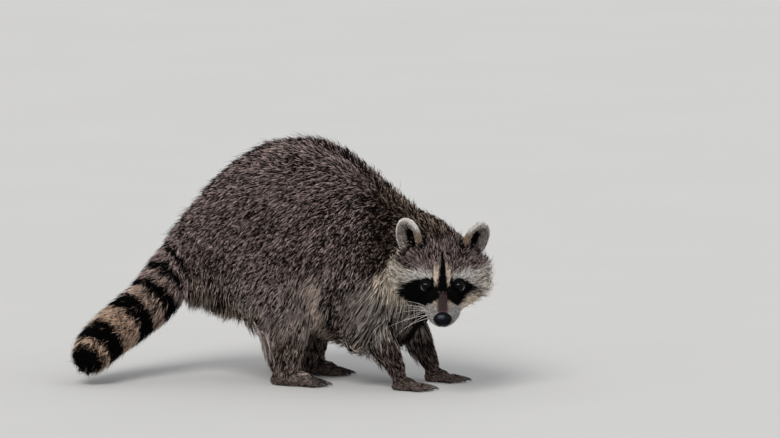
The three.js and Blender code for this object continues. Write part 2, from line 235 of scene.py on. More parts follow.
def solid_of(name):
    """A node's corners, each once, and its triangles, in body millimetres."""
    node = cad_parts[name]
    points, faces = read_mesh(node.data)
    turn = np.array(node.matrix_world)
    points = points @ turn[:3, :3].T + turn[:3, 3]
    _, first, back = np.unique(np.round(points, 6), axis=0, return_index=True, return_inverse=True)
    return points[first] / MM - SHIFT, back.ravel()[faces]


def joined(meshes):
    """Several meshes, each given by its points and faces, as one."""
    starts = np.cumsum([0] + [len(points) for points, _ in meshes])
    faces = [own + start for (_, own), start in zip(meshes, starts)]
    return np.vstack([points for points, _ in meshes]), np.vstack(faces)


def vertex_normals(points, faces):
    a, b, c = (points[faces[:, k]] for k in range(3))
    flat = np.cross(b - a, c - a)
    total = np.zeros_like(points)
    for k in range(3):
        for axis in range(3):
            total[:, axis] += np.bincount(faces[:, k], flat[:, axis], len(points))
    return unit(total)


FLESH = [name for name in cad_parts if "claw" not in name]
CLAWS = [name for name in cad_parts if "claw" in name]
OVERLAP = 0.8  # each solid grows by this much, so that neighbours fuse
VOXEL = 1.7
EYE_SPLITS = (19.0, 15.0)  # the faces nearer to an eye than each of these are split once more
MOUTH_SPLIT = 0.25  # by the mouth the same happens at this share of those distances


def fused_solids():
    """All the flesh as one closed mesh object, and what is needed to tell its parts apart."""
    grown, labels = [], []
    for name in FLESH:
        points, faces = solid_of(name)
        grown.append((points + OVERLAP * vertex_normals(points, faces), faces))
        labels += [PART_NAMES.index(part_of(name))] * len(faces)
    points, faces = (array.tolist() for array in joined(grown))
    mesh = bpy.data.meshes.new("fused")
    mesh.from_pydata(points, [], faces)
    fused = add_object("fused", mesh)
    remesh = fused.modifiers.new("remesh", "REMESH")
    remesh.mode = "VOXEL"
    remesh.voxel_size = VOXEL
    return fused, BVHTree.FromPolygons(points, faces), labels


def evaluated_mesh(thing):
    """A new mesh with the object's modifiers applied."""
    return bpy.data.meshes.new_from_object(thing.evaluated_get(bpy.context.evaluated_depsgraph_get()))


def split_face(mesh):
    """Splits the faces about the eyes and along the mouth, and makes all faces triangles."""
    work = bmesh.new()
    work.from_mesh(mesh)
    for reach in EYE_SPLITS:
        work.faces.ensure_lookup_table()
        places = to_head(np.array([tuple(f.calc_center_median()) for f in work.faces]))
        near = (eye_distance(places) < reach) | (mouth_distance(places) < reach * MOUTH_SPLIT)
        edges = {edge for i in np.flatnonzero(near) for edge in work.faces[i].edges}
        bmesh.ops.subdivide_edges(work, edges=list(edges), cuts=1, use_grid_fill=True)
    bmesh.ops.triangulate(work, faces=work.faces)
    work.to_mesh(mesh)
    work.free()


def largest_piece(points, faces, edges):
    """Drops what isn't joined to the largest piece."""
    group = np.arange(len(points))
    while True:
        low = np.minimum(group[edges[:, 0]], group[edges[:, 1]])
        fresh = group.copy()
        np.minimum.at(fresh, edges[:, 0], low)
        np.minimum.at(fresh, edges[:, 1], low)
        fresh = fresh[fresh]
        if np.array_equal(fresh, group):
            break
        group = fresh
    keep = group == np.bincount(group).argmax()
    index = np.cumsum(keep) - 1
    return points[keep], index[faces[keep[faces].all(axis=1)]]


def edges_of(faces):
    pairs = np.vstack([faces[:, [0, 1]], faces[:, [1, 2]], faces[:, [2, 0]]])
    return np.unique(np.sort(pairs, axis=1), axis=0)


def blur(values, edges, share, rounds):
    """Moves each point's values towards the mean of its neighbours' values."""
    values = values.copy()
    count = len(values)
    degree = np.maximum(np.bincount(edges.ravel(), minlength=count), 1)[:, None]
    a, b = edges[:, 0], edges[:, 1]
    for _ in range(rounds):
        mean = np.empty_like(values)
        for k in range(values.shape[1]):
            mean[:, k] = np.bincount(a, values[b, k], count) + np.bincount(b, values[a, k], count)
        values += share * (mean / degree - values)
    return values


# ---- the skin ----

GAZE = unit(np.array([0.86, 0.13, 0.49]))  # of the left eye, in the head's frame
LID_OPENING = math.radians(60)  # from the gaze to the lids' edge
LID_EDGE = math.radians(3.0)
LID_HEIGHT = 0.85  # of the lids over the eyeball
LID_REACH = 22.0  # how far from an eye's middle the skin is laid round it
SOCKET_GAP = 1.3  # between the eyeball and the skin behind it


def head_depth(places):
    """How deep the head's coat is, from short hair on the face to the long ruffs of the cheeks."""
    x, y, z = folded(places).T
    back = ramp(8, -50, x)
    ruff = ramp(34, 60, y) * ramp(6, -22, x) * ramp(34, 6, z)
    crown = ramp(-8, -50, x) * ramp(10, 30, z)
    under = ramp(10, -40, x) * ramp(-35, -55, z)
    jowl = ramp(20, 34, y) * ramp(0, -16, z) * ramp(26, 2, x)
    depth = 1.5 + 7.5 * back + 7.5 * ruff + 1.0 * crown + 3 * under + 3.5 * jowl * (1 - ruff)
    bare = ramp(24, 11, eye_distance(places))
    return depth * (1 - bare) + 0.9 * bare


def gaze_axes(sign):
    """The way an eye looks, across to the animal's left, and up, in the head's frame."""
    gaze = GAZE * [1, sign, 1]
    left = unit(np.cross([0, 0, 1], gaze))
    return np.array([gaze, left, np.cross(gaze, left)])


def sculpt_eyes(places):
    """Lays the lids round the eyeballs. places are in the head's frame."""
    for sign in SIDES.values():
        gaze, left, rise = gaze_axes(sign)
        across = left * sign  # towards the outer corner
        offset = places - eye_centre(sign)
        reach = np.linalg.norm(offset, axis=1)
        near = reach < LID_REACH
        ray = offset[near] / reach[near, None]
        angle = np.arccos(np.clip(ray @ gaze, -1, 1))
        turn = np.arctan2(ray @ rise, ray @ across)

        # The lids part further at both corners, furthest at the tear duct, and less at the top.
        tear_duct = bell(np.abs(turn), math.pi - 0.35, 0.3) * (turn < 0)
        corners = 5.0 * bell(turn, -0.25, 0.32) + 8.0 * tear_duct
        opening = LID_OPENING + np.radians(corners - 4.0 * bell(turn, 1.5, 0.8))
        over = ramp(opening - LID_EDGE, opening + LID_EDGE, angle)
        lid = EYE_RADIUS + LID_HEIGHT - 0.5 * ramp(0, math.radians(20), angle - opening)
        lid -= 0.35 * bell(angle - opening, math.radians(14), math.radians(4))
        hold = ramp(math.radians(112), math.radians(72), angle)
        outer = np.maximum(lid, reach[near]) * (1 - hold) + lid * hold
        fresh = (EYE_RADIUS - SOCKET_GAP) * (1 - over) + outer * over
        places[near] = eye_centre(sign) + ray * fresh[:, None]
    return places


NOSE_AT = np.array([51.0, 0, -23.0])
NOSE_RADII = np.array([10.2, 12.4, 10.4])
NOSE_REACH = (1.0, 1.8)  # from here out, in radii, the skin goes from sunk to left alone
NOSE_SINK = 0.32
LIP_GROOVE = (1.6, 1.1)  # how deep and how wide


def sculpt_nose(places):
    """Sinks the skin inside the nose leather, and leaves a shallow dip round it."""
    offset = (places - NOSE_AT) / NOSE_RADII
    reach = np.linalg.norm(offset, axis=1)
    sunk = 1 - NOSE_SINK * ramp(NOSE_REACH[1], NOSE_REACH[0], reach)
    return NOSE_AT + offset * sunk[:, None] * NOSE_RADII


def sculpt_mouth(places, normals):
    """Cuts the line between the lips, with a slight swelling along it."""
    away = mouth_distance(places)
    deep, wide = LIP_GROOVE
    groove = deep * np.exp(-((away / wide) ** 2)) - 0.35 * bell(away, 2.6, 1.0)
    return places - normals * groove[:, None]


# The skin is drawn in under the coat in steps, and smoothed a little after each.
SINK_STEPS = 6
SOFTEST = TRAIT_VALUES["soft"].max()


def make_skin():
    """The skin's points and faces, and for each point its part and how deep the coat is there."""
    fused, finder, face_labels = fused_solids()
    mesh = evaluated_mesh(fused)
    bpy.data.objects.remove(fused)
    split_face(mesh)
    points, faces = read_mesh(mesh)
    bpy.data.meshes.remove(mesh)
    points, faces = largest_piece(points, faces, edges_of(faces))
    edges = edges_of(faces)
    labels = np.array([face_labels[finder.find_nearest(p)[2]] for p in points.tolist()])

    # A wide blur where the body is broad, a slight one on the face, ears and paws.
    soft = blur((part_values("soft", labels) / SOFTEST)[:, None] ** 2, edges, 0.8, 6)
    points = blur(points, edges, 0.8 * soft, 60)

    # Then the skin is sunk from the coat's surface by the coat's depth.
    depth = part_values("depth", labels)
    head = on(labels, "head")
    depth[head] = head_depth(to_head(points)[head])
    depth = blur(depth[:, None], edges, 0.8, 14)
    for _ in range(SINK_STEPS):
        points = points - vertex_normals(points, faces) * (depth / SINK_STEPS)
        points = blur(points, edges, 0.55 * np.minimum(soft * 4, 1), 2)

    head = on(labels, *FACE, "lower_jaw")
    places = to_head(points)
    headings = vertex_normals(points, faces) @ HEAD_AXES.T
    places[head] = sculpt_nose(sculpt_eyes(sculpt_mouth(places[head], headings[head])))
    points = from_head(places)
    return SimpleNamespace(
        points=points, faces=faces, edges=edges, labels=labels, depth=depth[:, 0],
        normals=vertex_normals(points, faces), places=to_head(points),
    )


# ---- lie of the coat ----


# The way the hair lies on the neck, legs and paws.
LIE = {
    "neck": (-0.75, 0.28, -0.45),
    "upper_arm": (-0.55, 0, -0.8),
    "thigh": (-0.5, 0, -0.85),
    "shank": (-0.15, 0, -1),
    "forearm": (0.35, 0, -0.9),
    "forepaw": (1, 0, -0.35),
    "hindpaw": (1, 0, -0.35),
}


def lie_of_coat(skin):
    """The way the hair points at each skin point."""
    points, normals, places, labels = skin.points, skin.normals, skin.places, skin.labels
    lie = np.zeros_like(points)

    # On the trunk it runs back along the spine, turns down over the flanks and back under the belly.
    trunk = on(labels, "rump", "belly", "chest")
    fall = np.interp(normals[:, 2], [-1, -0.6, -0.2, 0.2, 0.6, 1], [0.2, 1.3, 2.0, 1.5, 0.65, 0.05])
    fall *= np.interp(points[:, 0], [-160, -80, 60, 170], [1.35, 1.0, 0.9, 1.7])
    lie[trunk, 0] = -1
    lie[trunk, 2] = -fall[trunk]
    for part, way in LIE.items():
        lie[on(labels, part)] = way
    tail = on(labels, "tail")
    lie[tail] = along_line(points[tail], TAIL)[2]

    # On the head it runs back from the nose, and away from the brow over the forehead and cheeks.
    head = on(labels, *FACE)
    share = ramp(14, -12, places[head, 0])[:, None]
    source = np.array([52.0, 0, -20]) * (1 - share) + np.array([42.0, 0, 4]) * share
    lie[head] = unit(places[head] - source) @ HEAD_AXES
    lie[on(labels, "lower_jaw")] = np.array([-1.0, 0, -0.1]) @ HEAD_AXES
    for side, sign in SIDES.items():
        lie[on(labels, "ear") & (np.sign(places[:, 1]) == sign)] = ear_axes(side)[2] @ HEAD_AXES

    def flatten(field):
        return unit(field - normals * (field * normals).sum(axis=1, keepdims=True))

    calm = np.where(on(labels, "head", "ear", "eye", "lower_jaw"), 0.25, 0.8)[:, None]
    return flatten(blur(flatten(lie), skin.edges, calm, 25))


# ---- markings ----

# Linear colours.
INK = np.array([0.0025, 0.0022, 0.0024])
UMBER = np.array([0.019, 0.011, 0.0095])
GRIZZLE = np.array([0.395, 0.302, 0.28])
SILVER = np.array([0.40, 0.35, 0.315])
CREAM = np.array([0.58, 0.50, 0.405])
SNOW = np.array([0.66, 0.63, 0.595])
TAN = np.array([0.52, 0.375, 0.26])
BEIGE = np.array([0.40, 0.30, 0.225])
FAWN = np.array([0.60, 0.50, 0.43])
SAND = np.array([0.56, 0.40, 0.29])
RUSSET = np.array([0.38, 0.28, 0.22])
MAROON = np.array([0.070, 0.040, 0.041])


def blend(base, colour, share):
    return base + (colour - base) * share[:, None]


def ahead_of(x, y):
    """How far forward a place is, as seen from the photo's side."""
    return 0.940 * x - 0.342 * np.abs(y)


def wobble(points, scale, seed):
    """Smooth noise from -1 to 1 as a sum of a few turned waves."""
    turns = np.random.default_rng(seed)
    total = np.zeros(len(points))
    for _ in range(5):
        way = unit(turns.normal(size=3)) / scale * turns.uniform(0.7, 1.5)
        total += np.sin(points @ way * TAU + turns.uniform(0, TAU))
    return total / 5


# Each ring of the tail: where it starts and ends, in millimetres along the tail's middle.
TAIL_RINGS = [(19, 32), (51, 69), (83, 106), (125, 158), (188, 231)]
TAIL_TIP = 240
RING_EDGE = 2.5  # half the width over which a ring's edge fades


def tail_dark(points):
    """How dark the tail's rings are at each point, its length along the tail and how far off it is."""
    length, near, _ = along_line(points, TAIL)
    gap = np.linalg.norm(points - near, axis=1)
    length = length + 2.5 * wobble(points, 22, 3)
    dark = ramp(TAIL_TIP - 4, TAIL_TIP + 4, length)
    for start, end in TAIL_RINGS:
        inside = ramp(start - RING_EDGE, start + RING_EDGE, length)
        dark = np.maximum(dark, inside * ramp(end + RING_EDGE, end - RING_EDGE, length))
    return 0.975 * dark, length, gap


FACE_UP = (-0.530, 0.848)  # the way up the face, in the head's X and Z


def face_on(places):
    """How far each point is from the face's middle, and how high, seen square on to the face."""
    return np.abs(places[:, 1]), FACE_UP[1] * places[:, 2] + FACE_UP[0] * places[:, 0]


def cheek_ruff(across, rise):
    """The cream hair from under the ear down over the cheek and out onto the neck."""
    inside = ramp(107, 97, across + np.clip(rise, 0, 60)) * ramp(-34, -20, rise)
    return inside * ramp(46, 55, across)


def face_paint(places):
    """Share of each of the face's colours."""
    across, rise = face_on(places)
    front = ramp(-58, -38, places[:, 0])
    ripple = 0.8 * wobble(places, 9, 5)

    # The mask: a patch round each eye that runs out and down over the cheek, with a small peak
    # beside the nose. Seen from the front it runs further out on the right.
    left = places[:, 1] > 0
    out = across * np.where(left, 1.19, 1)
    top = np.interp(out, [0, 9, 12, 14.5, 18, 30, 40, 50, 58], [3, 4, 8, 13.5, 8.5, 9.5, 8, 1.5, -6])
    top = top + ripple
    low = np.interp(out, [6, 9, 14, 23, 30, 44, 56], [-18, -19.5, -23, -28, -25, -14, -5]) + ripple
    low = low + 6 * left * ramp(22, 40, out)
    inner = ramp(10.0, 13.0, out + 0.3 * ripple)
    inner = np.maximum(inner, ramp(1.5, -3, rise) * ramp(3, 6, across))
    mask = ramp(-1.4, 1.4, top - rise) * ramp(-1.6, 1.6, rise - low) * inner
    mask *= ramp(3, -3, out - 57 + 2 * ripple)

    # The dark line down the middle of the forehead, and the brown bridge below it.
    half = np.interp(rise, [-14, -4, 4, 12, 22, 34, 46], [7.5, 7.4, 6.0, 4.9, 4.0, 2.9, 1.4])
    half = half + 0.5 * wobble(places, 3, 12)
    stripe = ramp(0.9, -0.9, across - half) * ramp(-16, -6, rise) * ramp(52, 42, rise)
    bridge = ramp(2.6, -1.6, across - 6.8 + 1.6 * wobble(places, 4, 13)) * ramp(-4, -12, rise)

    # Pale strips beside the line, the brow band over the mask and its run down to the cheek.
    strip_edge = np.interp(rise, [-6, -3, 5, 18, 30], [7.5, 9.0, 10.8, 11.2, 10.2])
    strip_edge = strip_edge + 0.8 * wobble(places, 4, 14) + 1.8 * ~left
    strip = ramp(-0.4, 1.0, across - half - 0.9 * ~left) * ramp(1.3, -1.3, across - strip_edge)
    strip = strip * ramp(-6, 1, rise) * ramp(36, 18, rise)
    brow_top = np.interp(across, [8, 16, 30, 44, 56, 66], [14, 17, 21, 23, 22, 18])
    brow = ramp(-7, 5, brow_top - rise + 3 * wobble(places, 7, 6)) * ramp(-2, 2, rise - top)
    brow = brow * ramp(11.5, 16, across)
    cheek = ramp(2, -6, rise - low) * ramp(18, 26, across)
    muzzle = ramp(-8, -14, rise) * ramp(26, 20, across)
    warm = bell(across, 10.5, 4.5) * bell(rise, -22, 7)
    return SimpleNamespace(
        mask=mask * front, stripe=stripe * front, bridge=bridge * front, strip=strip * front,
        brow=brow * front, cheek=cheek, ruff=cheek_ruff(across, rise), muzzle=muzzle * front,
        warm=warm * front, rise=rise, across=across,
    )


# The ears: their middles in the head's frame, how far each leans out and how far it faces out.
EARS = {
    "right": dict(at=(-56, -46, 42), lean_out=12, face_out=22),
    "left": dict(at=(-56, 46, 38), lean_out=20, face_out=24),
}
EAR_LEAN_BACK = 4
EAR_HALF_WIDTH = 18.0
EAR_HALF_HEIGHT = 32.0
EAR_DARKNESS = (0.22, 0.99)  # of its open side's edge, and of its hollow, which is painted shade


def turned(axis, degrees):
    """The matrix of a turn about one of the three axes."""
    c, s = math.cos(math.radians(degrees)), math.sin(math.radians(degrees))
    a, b = [k for k in range(3) if k != axis]
    matrix = np.eye(3)
    matrix[a, a] = matrix[b, b] = c
    matrix[a, b], matrix[b, a] = (s, -s) if axis == 1 else (-s, s)
    return matrix


def ear_axes(side):
    """The ear's own axes in the head's frame: out of its open side, across to its left, and up."""
    ear = EARS[side]
    mirror = -SIDES[side]
    tilt = turned(0, ear["lean_out"] * mirror) @ turned(2, -ear["face_out"] * mirror)
    return (tilt @ turned(1, -EAR_LEAN_BACK)).T


def in_ear(places, side):
    """Places in an ear's frame, with the second number counted outwards from the head's middle."""
    own = (places - np.array(EARS[side]["at"], float)) @ ear_axes(side).T
    return own * [1, SIDES[side], 1]


def ear_paint(places, facing):
    """Colour and darkness on the ears. facing is how far each point faces out of the open side."""
    tone = np.tile(SILVER * 1.3, (len(places), 1))
    shade = np.zeros(len(places))
    edge, deep = EAR_DARKNESS
    for side, sign in SIDES.items():
        mine = np.sign(places[:, 1]) == sign
        _, out, up = in_ear(places[mine], side).T
        round_rim = np.hypot(out / EAR_HALF_WIDTH, up / EAR_HALF_HEIGHT)
        front = ramp(-0.15, 0.25, facing[mine])
        rim = ramp(0.87, 0.94, round_rim) * ramp(-0.7, 0.2, out / EAR_HALF_WIDTH + up / 20)
        # Painted shade: near-black deep in the ear's hollow and low at its root.
        hollow_shade = bell(out, -1.5, 7.5) * ramp(23, 9, up) * ramp(-32, -22, up)
        inner = ramp(-7.0, -10.0, out) * ramp(-8, -3, up) * ramp(16, 7, up)
        root = ramp(6, -2, out) * ramp(-3, -9, up)
        darkness = edge + (deep - edge) * np.maximum(ramp(0.2, 0.75, hollow_shade) * (1 - inner), root)
        behind = 0.30 + 0.68 * ramp(12, -8, up)
        darkness = darkness * front + behind * (1 - front)
        tone[mine] = blend(blend(tone[mine], TAN * 0.9, inner), SNOW * 1.1, rim)
        shade[mine] = darkness * (1 - rim)
    return tone, shade


# The colour and darkness of the legs and paws: brown with pale tips, down to pale brown paws.
LEG_PAINT = {
    "shank": ((0.37, 0.285, 0.245), 0.54),
    "forearm": ((0.235, 0.175, 0.155), 0.62),
    "hindpaw": ((0.205, 0.155, 0.135), 0.52),
    "forepaw": ((0.205, 0.155, 0.135), 0.52),
}


def trunk_paint(points, normals):
    """Colour and darkness on the back, flanks, belly and breast."""
    x, y, z = points.T
    pale = np.tile(GRIZZLE, (len(points), 1))
    dark = 0.35 + 0.10 * wobble(points, 60, 1) + 0.08 * wobble(points, 17, 2)

    # Darkest along the spine; paler low on the flanks and warmer under the belly; darker over the
    # shoulder. Painted shade darkens the hair where the skin faces down, and low behind the elbow.
    dorsal = ramp(0.37, 0.14, np.abs(normals[:, 1])) * ramp(-0.1, 0.35, normals[:, 2])
    dark += 0.52 * dorsal * ramp(-165, -110, x)
    low = ramp(185, 100, z)
    pale = blend(pale, SILVER, 0.5 * low)
    dark -= 0.17 * low
    pale = blend(pale, BEIGE, 0.6 * ramp(-0.5, -0.9, normals[:, 2]))
    # Painted shade: darker where the skin faces down.
    dark += 0.12 * ramp(0.0, -0.5, normals[:, 2])
    dark += 0.06 * ramp(75, 120, x) * ramp(130, 175, z)
    # Painted shade under the belly, low behind the elbow.
    dark += 0.30 * bell(x, 82, 26) * ramp(120, 95, z)

    # The breast is pale grey to each side; down its middle and between the forelegs it is made very dark, a
    # painted shade.
    aside = np.abs(y)
    side_breast = ramp(80, 140, x) * ramp(170, 130, z) * ramp(20, 45, aside)
    pale = blend(pale, SILVER * 0.97, side_breast)
    dark += 0.20 * side_breast
    middle = ramp(34, 14, aside) * ramp(80, 130, x) * ramp(190, 150, z)
    return pale, np.maximum(dark, 0.96 * middle)


def add_neck_paint(pale, dark, points, labels):
    """The neck is dark brown behind the ear, cream where the cheek's ruff lies over it, and darkened under
    the chin by painted shade.
    """
    places = to_head(points)
    across, rise = face_on(places)
    near_head = on(labels, "neck", "chest", "upper_arm") * ramp(40, 70, points[:, 0])
    behind = near_head * ramp(122, 88, across) * ramp(-10, 16, rise)
    pale = blend(pale, RUSSET, behind)
    dark = dark + (0.68 - dark) * behind
    ruff = near_head * cheek_ruff(across, rise)
    ruff *= np.where(places[:, 1] > 0, ramp(-112, -72, places[:, 0]), 1)
    dark += (0.05 - dark) * ruff
    # Painted shade under the chin, over the throat.
    shade_under_chin = on(labels, "neck") * ramp(46, 34, across) * ramp(-20, -40, rise)
    return blend(pale, CREAM * 1.2, ruff), np.maximum(dark, 0.9 * shade_under_chin)


def add_leg_paint(pale, dark, points, labels):
    """The legs, with a pale upright streak down the front of each thigh, and painted shade in the gap
    before it.
    """
    x, y, z = points.T
    for part, (colour, darkness) in LEG_PAINT.items():
        pale[on(labels, part)] = colour
        dark[on(labels, part)] = darkness
    dark -= 0.25 * ramp(14, 5, z) * on(labels, *PAWS)
    ahead = ahead_of(x, y)
    flank = ramp(30, 50, np.abs(y))
    edge = np.interp(z, [25, 60, 81, 120, 162, 185], [11, 18, 23, 22, 16, 10])
    streak = bell(ahead, edge, 12) * ramp(176, 112, z) * ramp(5, 25, z) * flank
    # Painted shade: a dark band in the gap between the thigh and the belly.
    gap = bell(ahead, edge + 23, 8) * ramp(150, 110, z) * flank
    dark = dark - 0.42 * streak
    return blend(pale, FAWN, 0.95 * streak), dark + (0.9 - dark) * gap


def add_tail_paint(pale, dark, points, labels):
    """The tail's rings, which the rump's lowest hair carries on over the tail's root."""
    ring, length, gap = tail_dark(points)
    warm = ramp(30, 200, length)
    share = np.where(on(labels, "tail"), 1.0, ramp(46, 34, gap) * ramp(12, 26, length))
    share *= on(labels, "tail", "rump")
    colour = blend(np.tile(GRIZZLE * 1.2, (len(points), 1)), SAND, warm)
    return blend(pale, colour, share), dark + (np.maximum(0.3 - 0.14 * warm, ring) - dark) * share


def body_paint(points, normals, labels):
    """Colour and darkness on the trunk, neck, legs and tail."""
    pale, dark = trunk_paint(points, normals)
    for add in (add_neck_paint, add_leg_paint, add_tail_paint):
        pale, dark = add(pale, dark, points, labels)
    return pale, dark


def head_paint(places):
    """Colour and darkness on the head and jaw."""
    face = face_paint(places)
    x, y, z = folded(places).T
    tone = np.tile(GRIZZLE, (len(places), 1))
    shade = 0.65 + 0.12 * wobble(places, 12, 8) + 0.2 * ramp(-50, -80, x)
    outer_brow = face.brow * ramp(34, 52, face.across)
    for share, colour, darkness in (
        (face.ruff, CREAM * 1.2, 0.06),
        (face.cheek, CREAM * 1.2, 0.05),
        (face.muzzle, SNOW * 0.71, 0.07),
        (face.warm * 0.8, TAN, 0.02),
        (face.brow, SNOW * 1.08, 0.13),
        (outer_brow * 0.7, CREAM, 0.14),
        (face.strip, CREAM * 1.2, 0.03),
        (face.strip * ramp(6, -3, face.rise), TAN * 1.1, 0.03),
    ):
        tone = blend(tone, colour, share)
        shade = shade + (darkness - shade) * share
    jaw = ramp(-46, -54, z) * ramp(40, 20, y)
    tone = blend(tone, SILVER, jaw * 0.7)
    tone = blend(tone, MAROON, face.bridge * 0.95)
    shade = shade + 0.35 * face.bridge * ramp(-16, -6, face.rise)
    black = np.maximum(face.mask, face.stripe)
    black = np.maximum(black, 1.9 * bell(face.across, 26, 6) * bell(face.rise, 60, 12))
    black = np.maximum(black, ramp(12.6, 11.2, eye_distance(places)))
    black = np.maximum(black, ramp(1.8, 0.9, mouth_distance(places)))
    return tone, np.maximum(shade, np.minimum(black, 1))


def markings(points, normals, labels):
    """For each point: the colour of the coat's pale parts, and how much of it is dark hair."""
    pale, dark = body_paint(points, normals, labels)
    places = to_head(points)
    head, ear = on(labels, *FACE, "lower_jaw"), on(labels, "ear")
    if head.any():
        pale[head], dark[head] = head_paint(places[head])
    if ear.any():
        pale[ear], dark[ear] = ear_paint(places[ear], normals[ear] @ HEAD_AXES[0])
    return pale, np.clip(dark, 0, 1)


# ---- tufts ----


def tree_of(points):
    tree = KDTree(len(points))
    for i, p in enumerate(points.tolist()):
        tree.insert(p, i)
    tree.balance()
    return tree


def nearest(tree, points):
    return np.fromiter((tree.find(p)[1] for p in points.tolist()), np.int64, len(points))


SQUARE_CM = 100


def scatter(skin, crowd, rng):
    """Random places on the skin's faces, as many as the crowd at each face asks for."""
    a, b, c = (skin.points[skin.faces[:, k]] for k in range(3))
    area = 0.5 * np.linalg.norm(np.cross(b - a, c - a), axis=1) / SQUARE_CM
    wanted = area * crowd[skin.faces].mean(axis=1)
    total = int(wanted.sum())
    steps = (np.arange(total) + rng.uniform(0, 1, total)) * (wanted.sum() / total)
    chosen = np.searchsorted(np.cumsum(wanted), steps).clip(0, len(wanted) - 1)
    u, v = np.sqrt(rng.uniform(0, 1, total)), rng.uniform(0, 1, total)
    return skin.faces[chosen], np.column_stack([1 - u, u * (1 - v), u * v])


def weighed(values, corners, weights):
    """The values at places that are given by the corners of their face and the corners' weights."""
    picked = values[corners]
    if picked.ndim == 2:
        return (picked * weights).sum(axis=1)
    return (picked * weights[:, :, None]).sum(axis=1)


BEND = 0.4  # how fast a growing tuft turns with the coat
STRAY_GAP = 6.0  # a tuft that gets this far off the skin is put back on it
FLOOR_GAP = 0.3  # how close to the floor a tuft may come


def grow(skin, tree, roots, headings, lengths, shares):
    """Follows the coat over the skin from each root, to the given shares of each tuft's length."""
    place, at, heading = roots, nearest(tree, roots), headings
    bases, normals, depths = [place], [skin.normals[at]], [skin.depth[at]]
    for before, share in zip(shares, shares[1:]):
        stride = (lengths * (share - before))[:, None]
        place = place + heading * stride
        at = nearest(tree, place)
        normal = skin.normals[at]
        gap = place - skin.points[at]
        off = (gap * normal).sum(axis=1, keepdims=True)
        lost = np.linalg.norm(gap, axis=1, keepdims=True) > STRAY_GAP
        place = np.where(lost, skin.points[at], place - normal * np.clip(off, -stride, stride))
        heading = unit(heading * (1 - BEND) + skin.lie[at] * BEND)
        heading = unit(heading - normal * (heading * normal).sum(axis=1, keepdims=True))
        bases.append(place)
        normals.append(normal)
        depths.append(skin.depth[at])
    return np.stack(bases, 1), np.stack(normals, 1), np.stack(depths, 1)


def locks_of(roots, every, rng):
    """Gives each tuft a lock, a neighbouring tuft that it leans towards."""
    heads = np.flatnonzero(rng.random(len(roots)) < 1 / every)
    return heads, nearest(tree_of(roots[heads]), roots + rng.normal(0, 0.35, roots.shape))


def tube(rings, around):
    """The triangles between the rings of a tube, each ring with this many points around."""
    faces = []
    for i in range(rings - 1):
        for j in range(around):
            a, b = i * around + j, i * around + (j + 1) % around
            faces += [(a, b, b + around), (a, b + around, a + around)]
    return faces


def bodies(spine, normals, widths, profile):
    """Three-sided tapering tubes round the spines. Gives corners, and faces of one tuft."""
    rings = spine.shape[1]
    along = unit(np.gradient(spine, axis=1))
    side = unit(np.cross(along, normals))
    rise = np.cross(side, along)
    corners = []
    for k in range(rings - 1):
        for turn in (math.pi / 2, math.pi / 2 + TAU / 3, math.pi / 2 + 2 * TAU / 3):
            swing = side[:, k] * math.cos(turn) + rise[:, k] * math.sin(turn)
            corners.append(spine[:, k] + swing * (widths * profile[k])[:, None] / 2)
    corners.append(spine[:, -1])
    last, tip = 3 * (rings - 2), 3 * (rings - 1)
    ends = [(last + j, last + (j + 1) % 3, tip) for j in range(3)]
    return np.stack(corners, 1), np.array([(2, 1, 0)] + tube(rings - 1, 3) + ends)


def all_tufts(points, faces):
    """One mesh of every tuft, from each tuft's points and the faces of one."""
    starts = np.arange(len(points))[:, None, None] * points.shape[1]
    return points.reshape(-1, 3), (faces[None] + starts).reshape(-1, 3)


def paint_faces(faces, colours):
    """A colour at each corner of each tuft's faces. colours has two for each stretch between rings."""
    stretches = colours.shape[1]
    ring = np.minimum(faces // 3, stretches)
    stretch = np.minimum(ring.min(axis=1), stretches - 1)
    end = np.minimum(ring - stretch[:, None], 1)
    return colours[:, stretch[:, None], end]


def mesh_piece(name, points, faces, material, colours=None, uv=None):
    """A mesh object from body millimetres. colours are by point or by face corner, uv by point."""
    mesh = bpy.data.meshes.new(name)
    mesh.vertices.add(len(points))
    mesh.vertices.foreach_set("co", to_model(points).astype(np.float32).ravel())
    mesh.loops.add(faces.size)
    mesh.loops.foreach_set("vertex_index", faces.astype(np.int32).ravel())
    mesh.polygons.add(len(faces))
    mesh.polygons.foreach_set("loop_start", np.arange(0, faces.size, faces.shape[1], dtype=np.int32))
    mesh.polygons.foreach_set("use_smooth", np.ones(len(faces), bool))
    if colours is not None:
        domain = "POINT" if len(colours) == len(points) else "CORNER"
        layer = mesh.color_attributes.new("Coat", "FLOAT_COLOR", domain)
        opaque = np.column_stack([colours, np.ones(len(colours))])
        layer.data.foreach_set("color", opaque.astype(np.float32).ravel())
    if uv is not None:
        layer = mesh.uv_layers.new(name="OFBake")
        layer.data.foreach_set("uv", uv[faces.ravel()].astype(np.float32).ravel())
    mesh.update(calc_edges=True)
    mesh.validate()
    mesh.materials.append(material)
    piece = add_object(name, mesh)
    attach(piece, "root")
    return piece


def unwrapped(roots, normals, axis):
    """Each root's place on an unwrap of the skin round a middle line, from 0 to 1 each way.

    axis is the line's direction, or None for the tail, whose line bends."""
    if axis is None:
        length, _, ahead = along_line(roots, TAIL)
    else:
        ahead = np.tile(axis, (len(roots), 1))
        length = roots @ axis
    first = unit(np.cross(ahead, [0.3, -0.4, 0.85]))
    second = np.cross(ahead, first)
    turn = np.arctan2((normals * first).sum(axis=1), (normals * second).sum(axis=1))
    flat = np.column_stack([turn, length])
    low, high = flat.min(axis=0), flat.max(axis=0)
    return 0.01 + 0.98 * (flat - low) / np.maximum(high - low, 1e-6)


PATCH = 0.003  # how far a tuft reaches across its piece's unwrap

